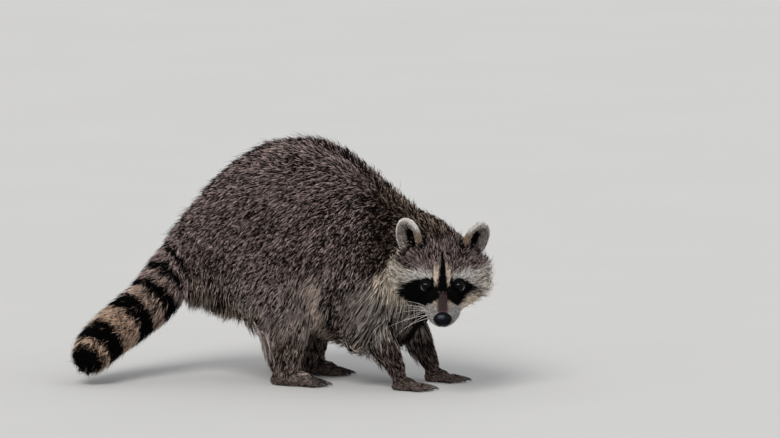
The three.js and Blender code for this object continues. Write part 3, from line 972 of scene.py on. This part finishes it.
# The spread of the tufts' random traits: of a whole lock, or of each tuft by itself.
LOCK_LENGTH, OWN_LENGTH = (0.75, 1.15), (0.82, 1.12)
LOCK_SWERVE, OWN_SWERVE = 1, 0.45
LOCK_CURVE = (1.05, 1.8)
LOCK_HANG = (0.3, 1.25)
OWN_WIDTH = (0.7, 1.2)
OWN_HEIGHT = (0.86, 1.0)
OWN_PULL = (0.3, 0.8)


def coat_piece(name, skin, tree, pick, cut, material, rng, axis, locks=3.0, lift=(0.55, 1.06), tips=0.6,
               alike=0.55, size=(1.0, 1.0)):
    """One piece of the coat, on the skin points where pick is true.

    locks: about how many tufts make a lock. lift: how high the locks stand, in shares of the
    coat's depth. tips and alike: see tuft_colours. size: what lengths and widths are multiplied by.
    """
    shares, profile = np.array(cut[0]), cut[1]
    corners, weights = scatter(skin, skin.crowd * pick, rng)
    count = len(corners)

    def at_root(values):
        return weighed(values, corners, weights)

    roots, depth = at_root(skin.points), at_root(skin.depth)
    heads, lock = locks_of(roots, locks, rng)
    lead = len(heads)
    normal, heading = unit(at_root(skin.normals)), unit(at_root(skin.lie))
    swerve = rng.normal(0, LOCK_SWERVE, lead)[lock] + rng.normal(0, OWN_SWERVE, count)
    swerve = swerve * at_root(skin.stray)
    heading = unit(heading + np.cross(normal, heading) * swerve[:, None])
    lengths = at_root(skin.length) * rng.uniform(*LOCK_LENGTH, lead)[lock]
    lengths = lengths * rng.uniform(*OWN_LENGTH, count) * size[0]
    widths = at_root(skin.width) * rng.uniform(*OWN_WIDTH, count) * size[1]
    bases, normals, depths = grow(skin, tree, roots, heading, lengths, shares)

    # Each lock rises to its own height, by its own curve, and hangs and gathers by its own share.
    height = rng.uniform(lift[0] ** 2, lift[1] ** 2, lead)[lock] ** 0.5 * rng.uniform(*OWN_HEIGHT, count)
    height = height * at_root(skin.stand) ** rng.uniform(0, 1.3, count)
    curve = rng.uniform(*LOCK_CURVE, lead)[lock]
    rise = 1 - (1 - shares[None]) ** curve[:, None]
    spine = bases + normals * (depths * height[:, None] * rise)[:, :, None]
    spine[:, 0] -= normals[:, 0] * np.minimum(1.0, 0.4 * depth)[:, None]
    hang = at_root(skin.hang) * rng.uniform(*LOCK_HANG, lead)[lock]
    spine[:, :, 2] -= hang[:, None] * shares[None] ** 2
    pull = rng.uniform(*OWN_PULL, count) * at_root(skin.pull)
    spine = spine + (spine[heads][lock] - spine) * ((shares**1.5)[None, :, None] * pull[:, None, None])
    spine[:, :, 2] = np.maximum(spine[:, :, 2], FLOOR_GAP)
    points, faces = bodies(spine, normals, widths, profile)

    seen = bases[:, -2] * 0.5 + bases[:, -1] * 0.5
    labels = skin.labels[corners[:, 0]]
    colours = tuft_colours(seen, normals[:, -1], labels, lock, lead, len(shares) - 1, tips, alike, rng)
    uv = unwrapped(roots, normal, axis)[:, None, :] + tuft_patch(shares)[None]
    painted = paint_faces(faces, colours).reshape(-1, 3)
    return mesh_piece(name, *all_tufts(points, faces), material, painted, uv.reshape(-1, 2))


def tuft_patch(shares):
    """The places of one tuft's points on its own patch of the unwrap, about the patch's middle."""
    share = np.repeat(shares, 3)[:-2]
    across = np.tile([-1, 0, 1], len(shares))[:-2] * (1 - 0.7 * share)
    return np.column_stack([across, share * 2 - 1]) * PATCH / 2


ALL_PALE, ALL_DARK = 0.04, 0.93  # past these darknesses a tuft has no tip of the other kind


def tuft_colours(seen, normals, labels, lock, lead, stretches, tips, alike, rng):
    """Two colours for each stretch of each tuft: from a dark root to a band, and a crisp tip.

    tips: how many tufts have a dark tip. alike: the share of tufts that take their lock's colour
    and not their own.
    """
    count = len(seen)
    pale, dark = markings(seen, normals, labels)
    mixed = (dark > ALL_PALE) & (dark < ALL_DARK)
    alike = rng.random(count) < alike
    draw = np.where(alike, rng.random(lead)[lock], rng.random(count))
    black = draw < dark * 0.72 + 0.28 * ramp(0.8, ALL_DARK, dark)
    tone = np.exp(rng.normal(0, 0.16, count) + rng.normal(0, 0.14, lead)[lock])[:, None]
    soot = blend(np.tile(INK, (count, 1)), UMBER, rng.random(count) * (dark < 0.97))
    band = np.where(black[:, None], soot, pale * tone)
    root = UMBER * 0.6 + pale * (0.14 * (1 - dark))[:, None]
    root = np.where(dark[:, None] > ALL_DARK, INK, root)
    root = blend(root, pale * 0.8, ramp(0.06, 0.02, dark))
    draw = np.where(alike, rng.random(lead)[lock], rng.random(count))
    dark_tip = mixed & (draw < tips * (0.25 + dark))
    tip = np.where((dark_tip | black)[:, None], soot * 0.9, pale * tone * 1.25)
    ends = [(root, band)] + [(band, band)] * (stretches - 2) + [(tip, tip)]
    return np.stack([np.stack(pair, 1) for pair in ends], 1)


# ---- materials ----


def new_material(name):
    material = bpy.data.materials.new(name)
    material.use_nodes = True
    nodes = material.node_tree.nodes
    return material, nodes, material.node_tree.links, nodes["Principled BSDF"]


def set_inputs(node, values):
    for name, value in values.items():
        node.inputs[name].default_value = value


def painted_colour(nodes):
    """The colours painted on the mesh."""
    painted = nodes.new("ShaderNodeAttribute")
    painted.attribute_name = "Coat"
    return painted.outputs["Color"]


def add_noise(nodes, links, scale, detail=3.0):
    """Noise that is fixed to the object. Gives its value."""
    place = nodes.new("ShaderNodeTexCoord")
    noise = nodes.new("ShaderNodeTexNoise")
    set_inputs(noise, {"Scale": scale, "Detail": detail})
    links.new(place.outputs["Object"], noise.inputs["Vector"])
    return noise.outputs["Fac"]


def add_bump(nodes, links, shader, height, strength, distance):
    """Grain in the surface, of a depth in metres."""
    bump = nodes.new("ShaderNodeBump")
    set_inputs(bump, {"Strength": strength, "Distance": distance})
    links.new(height, bump.inputs["Height"])
    links.new(bump.outputs["Normal"], shader.inputs["Normal"])


HAIR_NOISE = 160
SKIN_NOISE = 900


def coat_material(name, roughness, variation=0.25, gloss=0.05):
    """Hair, or the eye's surface: the painted colours, broken up a little."""
    material, nodes, links, shader = new_material(name)
    span = nodes.new("ShaderNodeMapRange")
    set_inputs(span, {"To Min": 1 - variation, "To Max": 1 + variation})
    links.new(add_noise(nodes, links, HAIR_NOISE), span.inputs["Value"])
    scaled = nodes.new("ShaderNodeVectorMath")
    scaled.operation = "SCALE"
    links.new(painted_colour(nodes), scaled.inputs[0])
    links.new(span.outputs["Result"], scaled.inputs["Scale"])
    links.new(scaled.outputs["Vector"], shader.inputs["Base Color"])
    set_inputs(shader, {"Roughness": roughness, "Specular IOR Level": gloss})
    return material


def skin_material():
    """Skin: its painted colours, with a fine grain."""
    material, nodes, links, shader = new_material("skin")
    add_bump(nodes, links, shader, add_noise(nodes, links, SKIN_NOISE, 4), 0.35, 0.0006)
    links.new(painted_colour(nodes), shader.inputs["Base Color"])
    set_inputs(shader, {"Roughness": 0.8, "Specular IOR Level": 0.05})
    return material


def plain_material(name, colour, roughness, bump_scale, bump_depth=0.0001, coat=0.0, tint=0.3, gloss=0.5):
    """A firm surface: one colour varied by noise, with a fine grain."""
    material, nodes, links, shader = new_material(name)
    noise = add_noise(nodes, links, bump_scale)
    mix = nodes.new("ShaderNodeMix")
    mix.data_type = "RGBA"
    for end, share in (("A", 1 - tint), ("B", 1 + tint)):
        mix.inputs[end].default_value = (*[c * share for c in colour], 1)
    links.new(noise, mix.inputs["Factor"])
    links.new(mix.outputs["Result"], shader.inputs["Base Color"])
    add_bump(nodes, links, shader, noise, 0.5, bump_depth)
    set_inputs(shader, {"Roughness": roughness, "Specular IOR Level": gloss, "Coat Weight": coat,
                        "Coat Roughness": 0.08})
    return material


# ---- pieces ----


SOLE = (0.035, 0.028, 0.026)  # the bare skin under the paws
BROAD = 5  # parts softer than this keep fewer of the skin's triangles
SKIN_KEPT = 0.4


def skin_piece(skin):
    """The skin's own mesh, painted with the markings under the coat."""
    pale, dark = markings(skin.points, skin.normals, skin.labels)
    thin = ramp(4, 1.5, skin.depth)
    colours = blend(pale * (0.3 + 0.4 * thin)[:, None], INK, np.clip(dark * 1.2, 0, 1))
    colours[on(skin.labels, *PAWS) & (skin.normals[:, 2] < -0.5)] = SOLE
    piece = mesh_piece("skin", skin.points, skin.faces, skin_material(), colours)
    group = piece.vertex_groups.new(name="broad")
    group.add(np.flatnonzero(part_values("soft", skin.labels) > BROAD).tolist(), 1.0, "REPLACE")
    fewer = piece.modifiers.new("fewer", "DECIMATE")
    fewer.ratio = SKIN_KEPT
    fewer.vertex_group = group.name
    fewer.vertex_group_factor = 1.0
    slim = evaluated_mesh(piece)
    piece.modifiers.clear()
    piece.data = slim
    piece.vertex_groups.clear()
    unwrap(piece)
    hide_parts(*[n for n in FLESH if not n.startswith(("eye", "nose"))])


def unwrap(piece):
    bpy.ops.object.select_all(action="DESELECT")
    bpy.context.view_layer.objects.active = piece
    piece.select_set(True)
    bpy.ops.object.mode_set(mode="EDIT")
    bpy.ops.mesh.select_all(action="SELECT")
    bpy.ops.uv.smart_project(angle_limit=math.radians(70), island_margin=0.002)
    bpy.ops.object.mode_set(mode="OBJECT")
    piece.data.uv_layers[0].name = "OFBake"


def ball(rings, around):
    """Unit directions of a sphere about +X, and its triangles."""
    points = [[1.0, 0, 0]]
    for turn in np.linspace(0, math.pi, rings + 1)[1:-1]:
        high, wide = math.cos(turn), math.sin(turn)
        points += [[high, wide * math.cos(s), wide * math.sin(s)] for s in np.arange(around) / around * TAU]
    points.append([-1.0, 0, 0])
    faces = [(a + 1, c + 1, b + 1) for a, b, c in tube(rings - 1, around)]
    last = 1 + (rings - 2) * around
    for j in range(around):
        k = (j + 1) % around
        faces += [(0, 1 + j, 1 + k), (len(points) - 1, last + k, last + j)]
    return np.array(points), np.array(faces)


PUPIL = np.array([0.0015, 0.0013, 0.0013])
IRIS = np.array([0.0035, 0.002, 0.0015])
# The pale crescent painted on the eyeball as a reflection.
EYE_RIM_REFLECTION = np.array([0.62, 0.62, 0.66])
CORNEA_RISE = 0.5


def eye_piece(side, material):
    """An eyeball with its cornea, pupil and iris, turned to its gaze."""
    sign = SIDES[side]
    rays, faces = ball(48, 64)
    angle = np.degrees(np.arccos(np.clip(rays[:, 0], -1, 1)))
    reach = EYE_RADIUS + CORNEA_RISE * ramp(44, 20, angle)
    points = from_head(rays * reach[:, None] @ gaze_axes(sign) + eye_centre(sign))

    # The pupil, the iris with its fibres, and a pale crescent low at the outer corner, a painted reflection
    # of the wet lower rim.
    iris = ramp(20, 24, angle) * ramp(50, 46, angle)
    fibre = 0.75 + 0.25 * np.cos(np.arctan2(rays[:, 2], rays[:, 1]) * 30 + angle)
    colours = blend(np.tile(PUPIL, (len(rays), 1)), IRIS, iris * fibre)
    turn = np.arctan2(rays[:, 2], rays[:, 1] * sign)
    # Painted reflection: a pale crescent by the lower outer lid.
    rim = bell(angle, 50, 2.4) * bell(turn, math.radians(-32), math.radians(26))
    piece = mesh_piece(f"eyeball_{side}", points, faces, material, blend(colours, EYE_RIM_REFLECTION, rim))
    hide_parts(f"eye_{side}")
    return piece


NOSTRIL_DEPTH = 4.6
SLIT_DEPTH = 2.6
NOSE_GROOVE = 0.8


def nose_piece():
    """The leather: a rounded pad with comma-shaped nostrils and a groove down its middle."""
    rays, faces = ball(56, 72)
    x, y, z = rays.T
    points = rays * NOSE_RADII
    points[:, 1] *= 1 - 0.12 * ramp(0, -1, z) + 0.06 * bell(z, 0.2, 0.4)
    points[:, 0] -= 1.6 * ramp(0.2, 1, z) * ramp(0, 1, x)
    points[:, 0] -= 1.8 * ramp(0.3, -1, z) * ramp(0, 0.7, x)
    front = ramp(0.1, 0.5, x)
    out, up = y * NOSE_RADII[1], z * NOSE_RADII[2]
    for sign in SIDES.values():
        own = out * sign
        hole = np.exp(-(((own - 4.9) / 2.5) ** 2 + ((up - 0.4) / 2.1) ** 2))
        slit = np.exp(-(((own - 8.6 - 0.25 * up) / 3.2) ** 2 + ((up + 1.9) / 1.15) ** 2))
        points[:, 0] -= front * (NOSTRIL_DEPTH * hole + SLIT_DEPTH * slit)
    points[:, 0] -= front * NOSE_GROOVE * (bell(out, 0, 0.6) * ramp(0, -5, up))
    grain = 0.10 * wobble(points, 1.3, 21) + 0.06 * wobble(points, 0.8, 22)
    points += rays * grain[:, None]
    leather = plain_material("nose_leather", (0.003, 0.003, 0.005), 0.30, 1400, 0.0002, gloss=0.05)
    piece = mesh_piece("nose_leather", from_head(points + NOSE_AT), faces, leather)
    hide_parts("nose")
    return piece


def claw_pieces():
    """Curved tapering claws, set back into their toes."""
    horn = plain_material("claw_horn", (0.040, 0.030, 0.025), 0.38, 500, coat=0.3)
    for paw in ("fore", "hind"):
        for side in SIDES:
            names = [n for n in CLAWS if n.startswith(f"{paw}_claw_{side}")]
            claws = joined([one_claw(solid_of(name)[0]) for name in names])
            piece = mesh_piece(f"claws_{paw}_{side}", *claws, horn)
            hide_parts(*names)


CLAW_INSET = 5.0  # how far it goes into the toe
CLAW_HALF_HEIGHT = 1.75
CLAW_NARROWNESS = 0.62  # its width, as a share of its height
CLAW_RINGS, CLAW_AROUND = 13, 12


def one_claw(solid):
    """A claw through a solid's two ends. Its tip is the end with the solid's lowest corner."""
    front = solid[np.argmin(solid[:, 2])]
    order = np.argsort(np.linalg.norm(solid[:, :2] - front[:2], axis=1))
    root, tip = solid[order[-5:]].mean(axis=0), solid[order[:5]].mean(axis=0)
    ahead = unit((tip - root) * [1, 1, 0])
    reach = np.linalg.norm((tip - root)[:2])
    side = np.cross([0, 0, 1.0], ahead)
    points = []
    for share in np.arange(CLAW_RINGS) / (CLAW_RINGS - 1):
        centre = root + ahead * (-CLAW_INSET + (reach + CLAW_INSET) * share)
        centre[2] = root[2] + 0.9 * math.sin(share * 2.2) - (root[2] - 1.2) * share**2.4
        thick = CLAW_HALF_HEIGHT * (1 - share**1.7) + 0.12
        for turn in np.arange(CLAW_AROUND) / CLAW_AROUND * TAU:
            up = np.array([0, 0, thick * math.sin(turn)])
            points.append(centre + side * thick * CLAW_NARROWNESS * math.cos(turn) + up)
    base, last = len(points), len(points) - CLAW_AROUND
    points += [root - ahead * CLAW_INSET, centre + ahead * 0.3]
    faces = tube(CLAW_RINGS, CLAW_AROUND)
    for j in range(CLAW_AROUND):
        k = (j + 1) % CLAW_AROUND
        faces += [(base, k, j), (base + 1, last + j, last + k)]
    return np.array(points), np.array(faces)


WHISKER_WIDTH = 0.55
WHISKER_DROOP = 0.34
MUZZLE_WHISKERS = (38, 70)  # their shortest and longest
BROW_WHISKERS = (18, 28)


def whisker_piece(material):
    """Long white whiskers from the muzzle, and a few over each eye."""
    rng = np.random.default_rng(SEED + 40)
    starts, ways, sizes = [], [], []
    for sign in SIDES.values():
        for row in range(3):
            for k in range(3):
                starts.append([32 - 7 * k, sign * (15.8 + 2.2 * k), -24 - 3.6 * row + rng.normal(0, 0.8)])
                ways.append([rng.normal(-0.5, 0.22), sign, rng.normal(0.12 - 0.24 * row, 0.14)])
                sizes.append(rng.uniform(*MUZZLE_WHISKERS))
        for k in range(3):
            starts.append([-2, sign * (17 + 5 * k), 15])
            ways.append([-0.2, sign * (0.35 + 0.3 * k), 0.9])
            sizes.append(rng.uniform(*BROW_WHISKERS))
    starts, ways = np.array(starts, float), unit(np.array(ways, float))
    sizes, shares = np.array(sizes)[:, None, None], np.linspace(0, 1, 9)
    spine = starts[:, None] + ways[:, None] * (sizes * shares[None, :, None])
    spine = spine + np.array([-0.25, 0, -1.0]) * (sizes * WHISKER_DROOP * shares[None, :, None] ** 2)
    spine = from_head(spine.reshape(-1, 3)).reshape(spine.shape)
    normals = np.tile(HEAD_AXES[2], (*spine.shape[:2], 1))
    widths = np.full(len(starts), WHISKER_WIDTH)
    points, faces = all_tufts(*bodies(spine, normals, widths, 1 - 0.8 * shares))
    piece = mesh_piece("whiskers", points, faces, material, np.tile(SNOW * 1.3, (len(points), 1)))
    unwrap(piece)
    return piece


# ---- studio ----

FLOOR_SIZE = 120.0  # in metres
LAMP_DISTANCE = 3  # in metres
CAMERA_AZIMUTH = math.radians(20)
CAMERA_ELEVATION = math.radians(7)
CAMERA_DISTANCE = 12130.0
CAMERA_LENS = 400.0
AIM_ACROSS = 126.0  # how far from the body's origin the camera aims, along the picture and up it
AIM_UP = 224.0
WORLD_COLOUR = (0.94, 0.96, 1.0, 1)
WORLD_STRENGTH = 0.62


def add_floor():
    mesh = bpy.data.meshes.new("floor")
    h = FLOOR_SIZE / 2
    mesh.from_pydata([(-h, -h, 0), (h, -h, 0), (h, h, 0), (-h, h, 0)], [], [(0, 1, 2, 3)])
    mesh.materials.append(plain_material("floor", (0.62, 0.61, 0.59), 0.9, 3, tint=0.03))
    add_object("floor", mesh)


def direction(azimuth, elevation):
    """The way from the model to a place that is seen at these angles, in radians."""
    flat = math.cos(elevation)
    return np.array([math.sin(azimuth) * flat, -math.cos(azimuth) * flat, math.sin(elevation)])


def add_looking(name, data, back):
    """A lamp or a camera that looks against the direction back."""
    thing = add_object(name, data)
    thing.rotation_mode = "QUATERNION"
    thing.rotation_quaternion = Vector(-back).to_track_quat("-Z", "Y")
    return thing


def add_light(name, kind, energy, azimuth, elevation, colour, angle=0.0):
    light = bpy.data.lights.new(name, kind)
    light.energy = energy
    light.color = colour
    if kind == "SUN":
        light.angle = angle
    back = direction(math.radians(azimuth), math.radians(elevation))
    lamp = add_looking(name, light, back)
    lamp.location = back * LAMP_DISTANCE
    return lamp


def add_catch_light(pieces):
    """A long soft box that is mirrored in the eyes and the nose, and lights nothing else."""
    lamp = add_light("catch", "AREA", energy=340, azimuth=-2, elevation=47, colour=(0.72, 0.84, 1))
    lamp.data.shape = "RECTANGLE"
    lamp.data.size, lamp.data.size_y = 3.4, 0.8
    lamp.visible_diffuse = False
    seen_in = bpy.data.collections.new("catch_light")
    for piece in pieces:
        seen_in.objects.link(piece)
    lamp.light_linking.receiver_collection = seen_in


def add_studio():
    add_floor()
    add_light("key", "SUN", energy=1.8, azimuth=-2, elevation=45, colour=(1, 0.99, 0.97), angle=0.5)
    add_light("fill", "SUN", energy=0.3, azimuth=100, elevation=30, colour=(0.95, 0.97, 1), angle=1.2)
    world = bpy.data.worlds.new("studio")
    bpy.context.scene.world = world
    world.use_nodes = True
    set_inputs(world.node_tree.nodes["Background"], {"Color": WORLD_COLOUR, "Strength": WORLD_STRENGTH})
    bpy.context.scene.view_settings.view_transform = "Standard"


def add_camera():
    back = direction(CAMERA_AZIMUTH, CAMERA_ELEVATION)
    across = np.array([math.cos(CAMERA_AZIMUTH), math.sin(CAMERA_AZIMUTH), 0])
    rise = np.cross(back, across)
    data = bpy.data.cameras.new("camera")
    data.lens = CAMERA_LENS
    data.clip_start = 0.1
    data.clip_end = 300
    camera = add_looking("camera", data, back)
    camera.location = to_model(across * AIM_ACROSS + rise * AIM_UP + back * CAMERA_DISTANCE)
    bpy.context.scene.camera = camera


# ---- assembly ----

BODY_SLICES = [-400, -110, -45, 20, 85, 140, 400]  # where the trunk's coat is parted, along X
STREAKS_PART = LEGS_PART = 70  # between the front and the rear

# How a tuft is cut: shares of its length where its rings are, and its widths there.
LONG = (0.0, 0.42, 0.8, 1.0), (0.8, 1.0, 0.72)
SHORT = (0.0, 0.62, 1.0), (0.9, 0.8)
SPIKE = (0.0, 0.58, 1.0), (0.9, 0.95)
STIPPLE = (0.0, 0.75, 1.0), (0.9, 0.9)

GUARD_CROWD = 3.5, 7.0  # long single hairs to the square centimetre, on the trunk and on the tail
RUFF_DEPTH = 4.5  # hair on the head that is deeper than this belongs to the ruff
SPIKE_CROWD = 1.5  # how many more spikes than long tufts grow on the same skin


def set_coat(skin):
    """What the coat is like at each skin point."""
    labels, depth, places = skin.labels, skin.depth, skin.places
    x, y, z = skin.points.T
    nz = skin.normals[:, 2]
    skin.lie = lie_of_coat(skin)
    for key in ("crowd", "length", "width"):
        setattr(skin, key, blur(part_values(key, labels)[:, None], skin.edges, 0.8, 8)[:, 0])
    head = on(labels, *FACE)
    skin.length[head] = 2.8 + 1.75 * depth[head]
    skin.width[head] = np.interp(depth[head], [1, 4, 15], [0.42, 0.6, 1.0])
    skin.crowd[head] = np.interp(depth[head], [1, 4, 15], [170, 120, 50])
    bare = (eye_distance(places) < 9.9) | (np.linalg.norm(places - NOSE_AT, axis=1) < 12.2)
    bare |= (mouth_distance(places) < 1.3) | (on(labels, *PAWS) & (nz < -0.4))
    skin.crowd = skin.crowd * ~bare

    # Long streaks low on the flanks, on the thighs and over the breast; short ruffled hair above.
    trunk = on(labels, "rump", "belly", "chest", "thigh", "upper_arm", "neck")
    streaks = np.maximum(ramp(150, 105, z), ramp(90, 130, x) * ramp(185, 145, z))
    streaks = trunk * np.maximum(streaks, bell(ahead_of(x, y), 18, 16) * ramp(200, 170, z))
    skin.streaks = blur(streaks[:, None], skin.edges, 0.8, 6)[:, 0]
    spine = trunk * ramp(0.62, 0.28, np.abs(skin.normals[:, 1])) * ramp(0.0, 0.4, nz)
    skin.length = skin.length * (1 + 1.2 * skin.streaks)
    skin.width = skin.width * (1 - 0.1 * skin.streaks - 0.25 * spine)
    skin.stray = np.where(trunk, 0.36 - 0.22 * skin.streaks, 0.24)
    skin.pull = np.clip(depth / 8, 0.1, 1) * (1 - 0.5 * spine)
    skin.pull[head] *= 0.55
    skin.pull[on(labels, "tail")] *= 0.35

    # Hair that stands up along the spine, and locks that hang under the rump, thighs and breast.
    skin.stand = 1 + 0.34 * spine * np.where(on(labels, "neck"), 0.4, 1)
    cheeks = ramp(22, 36, np.abs(places[:, 1])) * ramp(14, -6, places[:, 2])
    cheeks *= ramp(24, 8, places[:, 0])
    skin.stand[head] += 0.8 * cheeks[head]
    below = trunk * ramp(0.0, -0.6, nz)
    skin.hang = below * (27 * ramp(-10, -60, x) + 8 * ramp(60, 110, x) + 3)


def dress(skin):
    """The whole coat, in pieces."""
    set_coat(skin)
    tree = tree_of(skin.points)
    x, y, _ = skin.points.T
    fur = coat_material("fur", 0.75)
    tail, ears = on(skin.labels, "tail"), on(skin.labels, "ear")
    legs = on(skin.labels, "shank", "forearm", *PAWS)
    head = on(skin.labels, *FACE, "lower_jaw")
    ruff = head & (skin.depth > RUFF_DEPTH)
    trunk = ~(tail | legs | head | ears)

    def piece(name, slot, pick, cut, axis, **ways):
        rng = np.random.default_rng([SEED, *name.encode()])
        coat_piece(name, skin, tree, pick, cut, fur, rng, axis, **ways)

    spikes = trunk * (1 - skin.streaks) * SPIKE_CROWD
    for k, (low, high) in enumerate(zip(BODY_SLICES, BODY_SLICES[1:])):
        pick = spikes * (x >= low) * (x < high)
        piece(f"coat_body_{k + 1}", "body_fur", pick, STIPPLE, (1, 0, 0), locks=1.6, lift=(0.80, 1.08),
              tips=0.95, alike=0.25)
    for side, sign in SIDES.items():
        for pair, part in (("front", x > STREAKS_PART), ("rear", x <= STREAKS_PART)):
            long = trunk * skin.streaks * part * (np.sign(y) == sign)
            piece(f"coat_streaks_{pair}_{side}", "body_fur", long, LONG, (1, 0, 0), tips=0.2)
    piece("coat_tail", "tail_fur", tail * SPIKE_CROWD, SPIKE, None, locks=1.5, lift=(0.7, 1.25), tips=0.35)
    guard = (trunk * GUARD_CROWD[0] + tail * GUARD_CROWD[1]) / np.maximum(skin.crowd, 1) * (skin.crowd > 0)
    piece("coat_guard_hairs", "body_fur", guard, SPIKE, (1, 0, 0), locks=1.2, lift=(1.0, 1.45), tips=1.2,
          alike=0.1, size=(1.35, 0.5))
    piece("coat_ruff", "face_fur", ruff, SPIKE, tuple(HEAD_AXES[0]), locks=2.2, lift=(0.6, 1.2), tips=0.45)
    piece("coat_face", "face_fur", head & ~ruff, SHORT, tuple(HEAD_AXES[0]), locks=2, tips=0.3)
    for side, sign in SIDES.items():
        near = np.sign(skin.places[:, 1]) == sign
        piece(f"coat_ear_{side}", "ear_fur", ears & near, SHORT, (0, 0, 1), lift=(0.8, 2.2), alike=0.3)
        for pair, part in (("fore", x > LEGS_PART), ("hind", x <= LEGS_PART)):
            leg = legs & part & (np.sign(y) == sign)
            piece(f"coat_{pair}leg_{side}", "leg_fur", leg, SHORT, (0, 0, 1), locks=3.5)
    whisker_piece(fur)


def main():
    skin = make_skin()
    skin_piece(skin)
    dress(skin)
    eye_surface = coat_material("eye_surface", 0.07, 0.1, 0.07)
    shiny = [eye_piece(side, eye_surface) for side in SIDES] + [nose_piece()]
    claw_pieces()
    add_studio()
    add_catch_light(shiny)
    add_camera()


main()
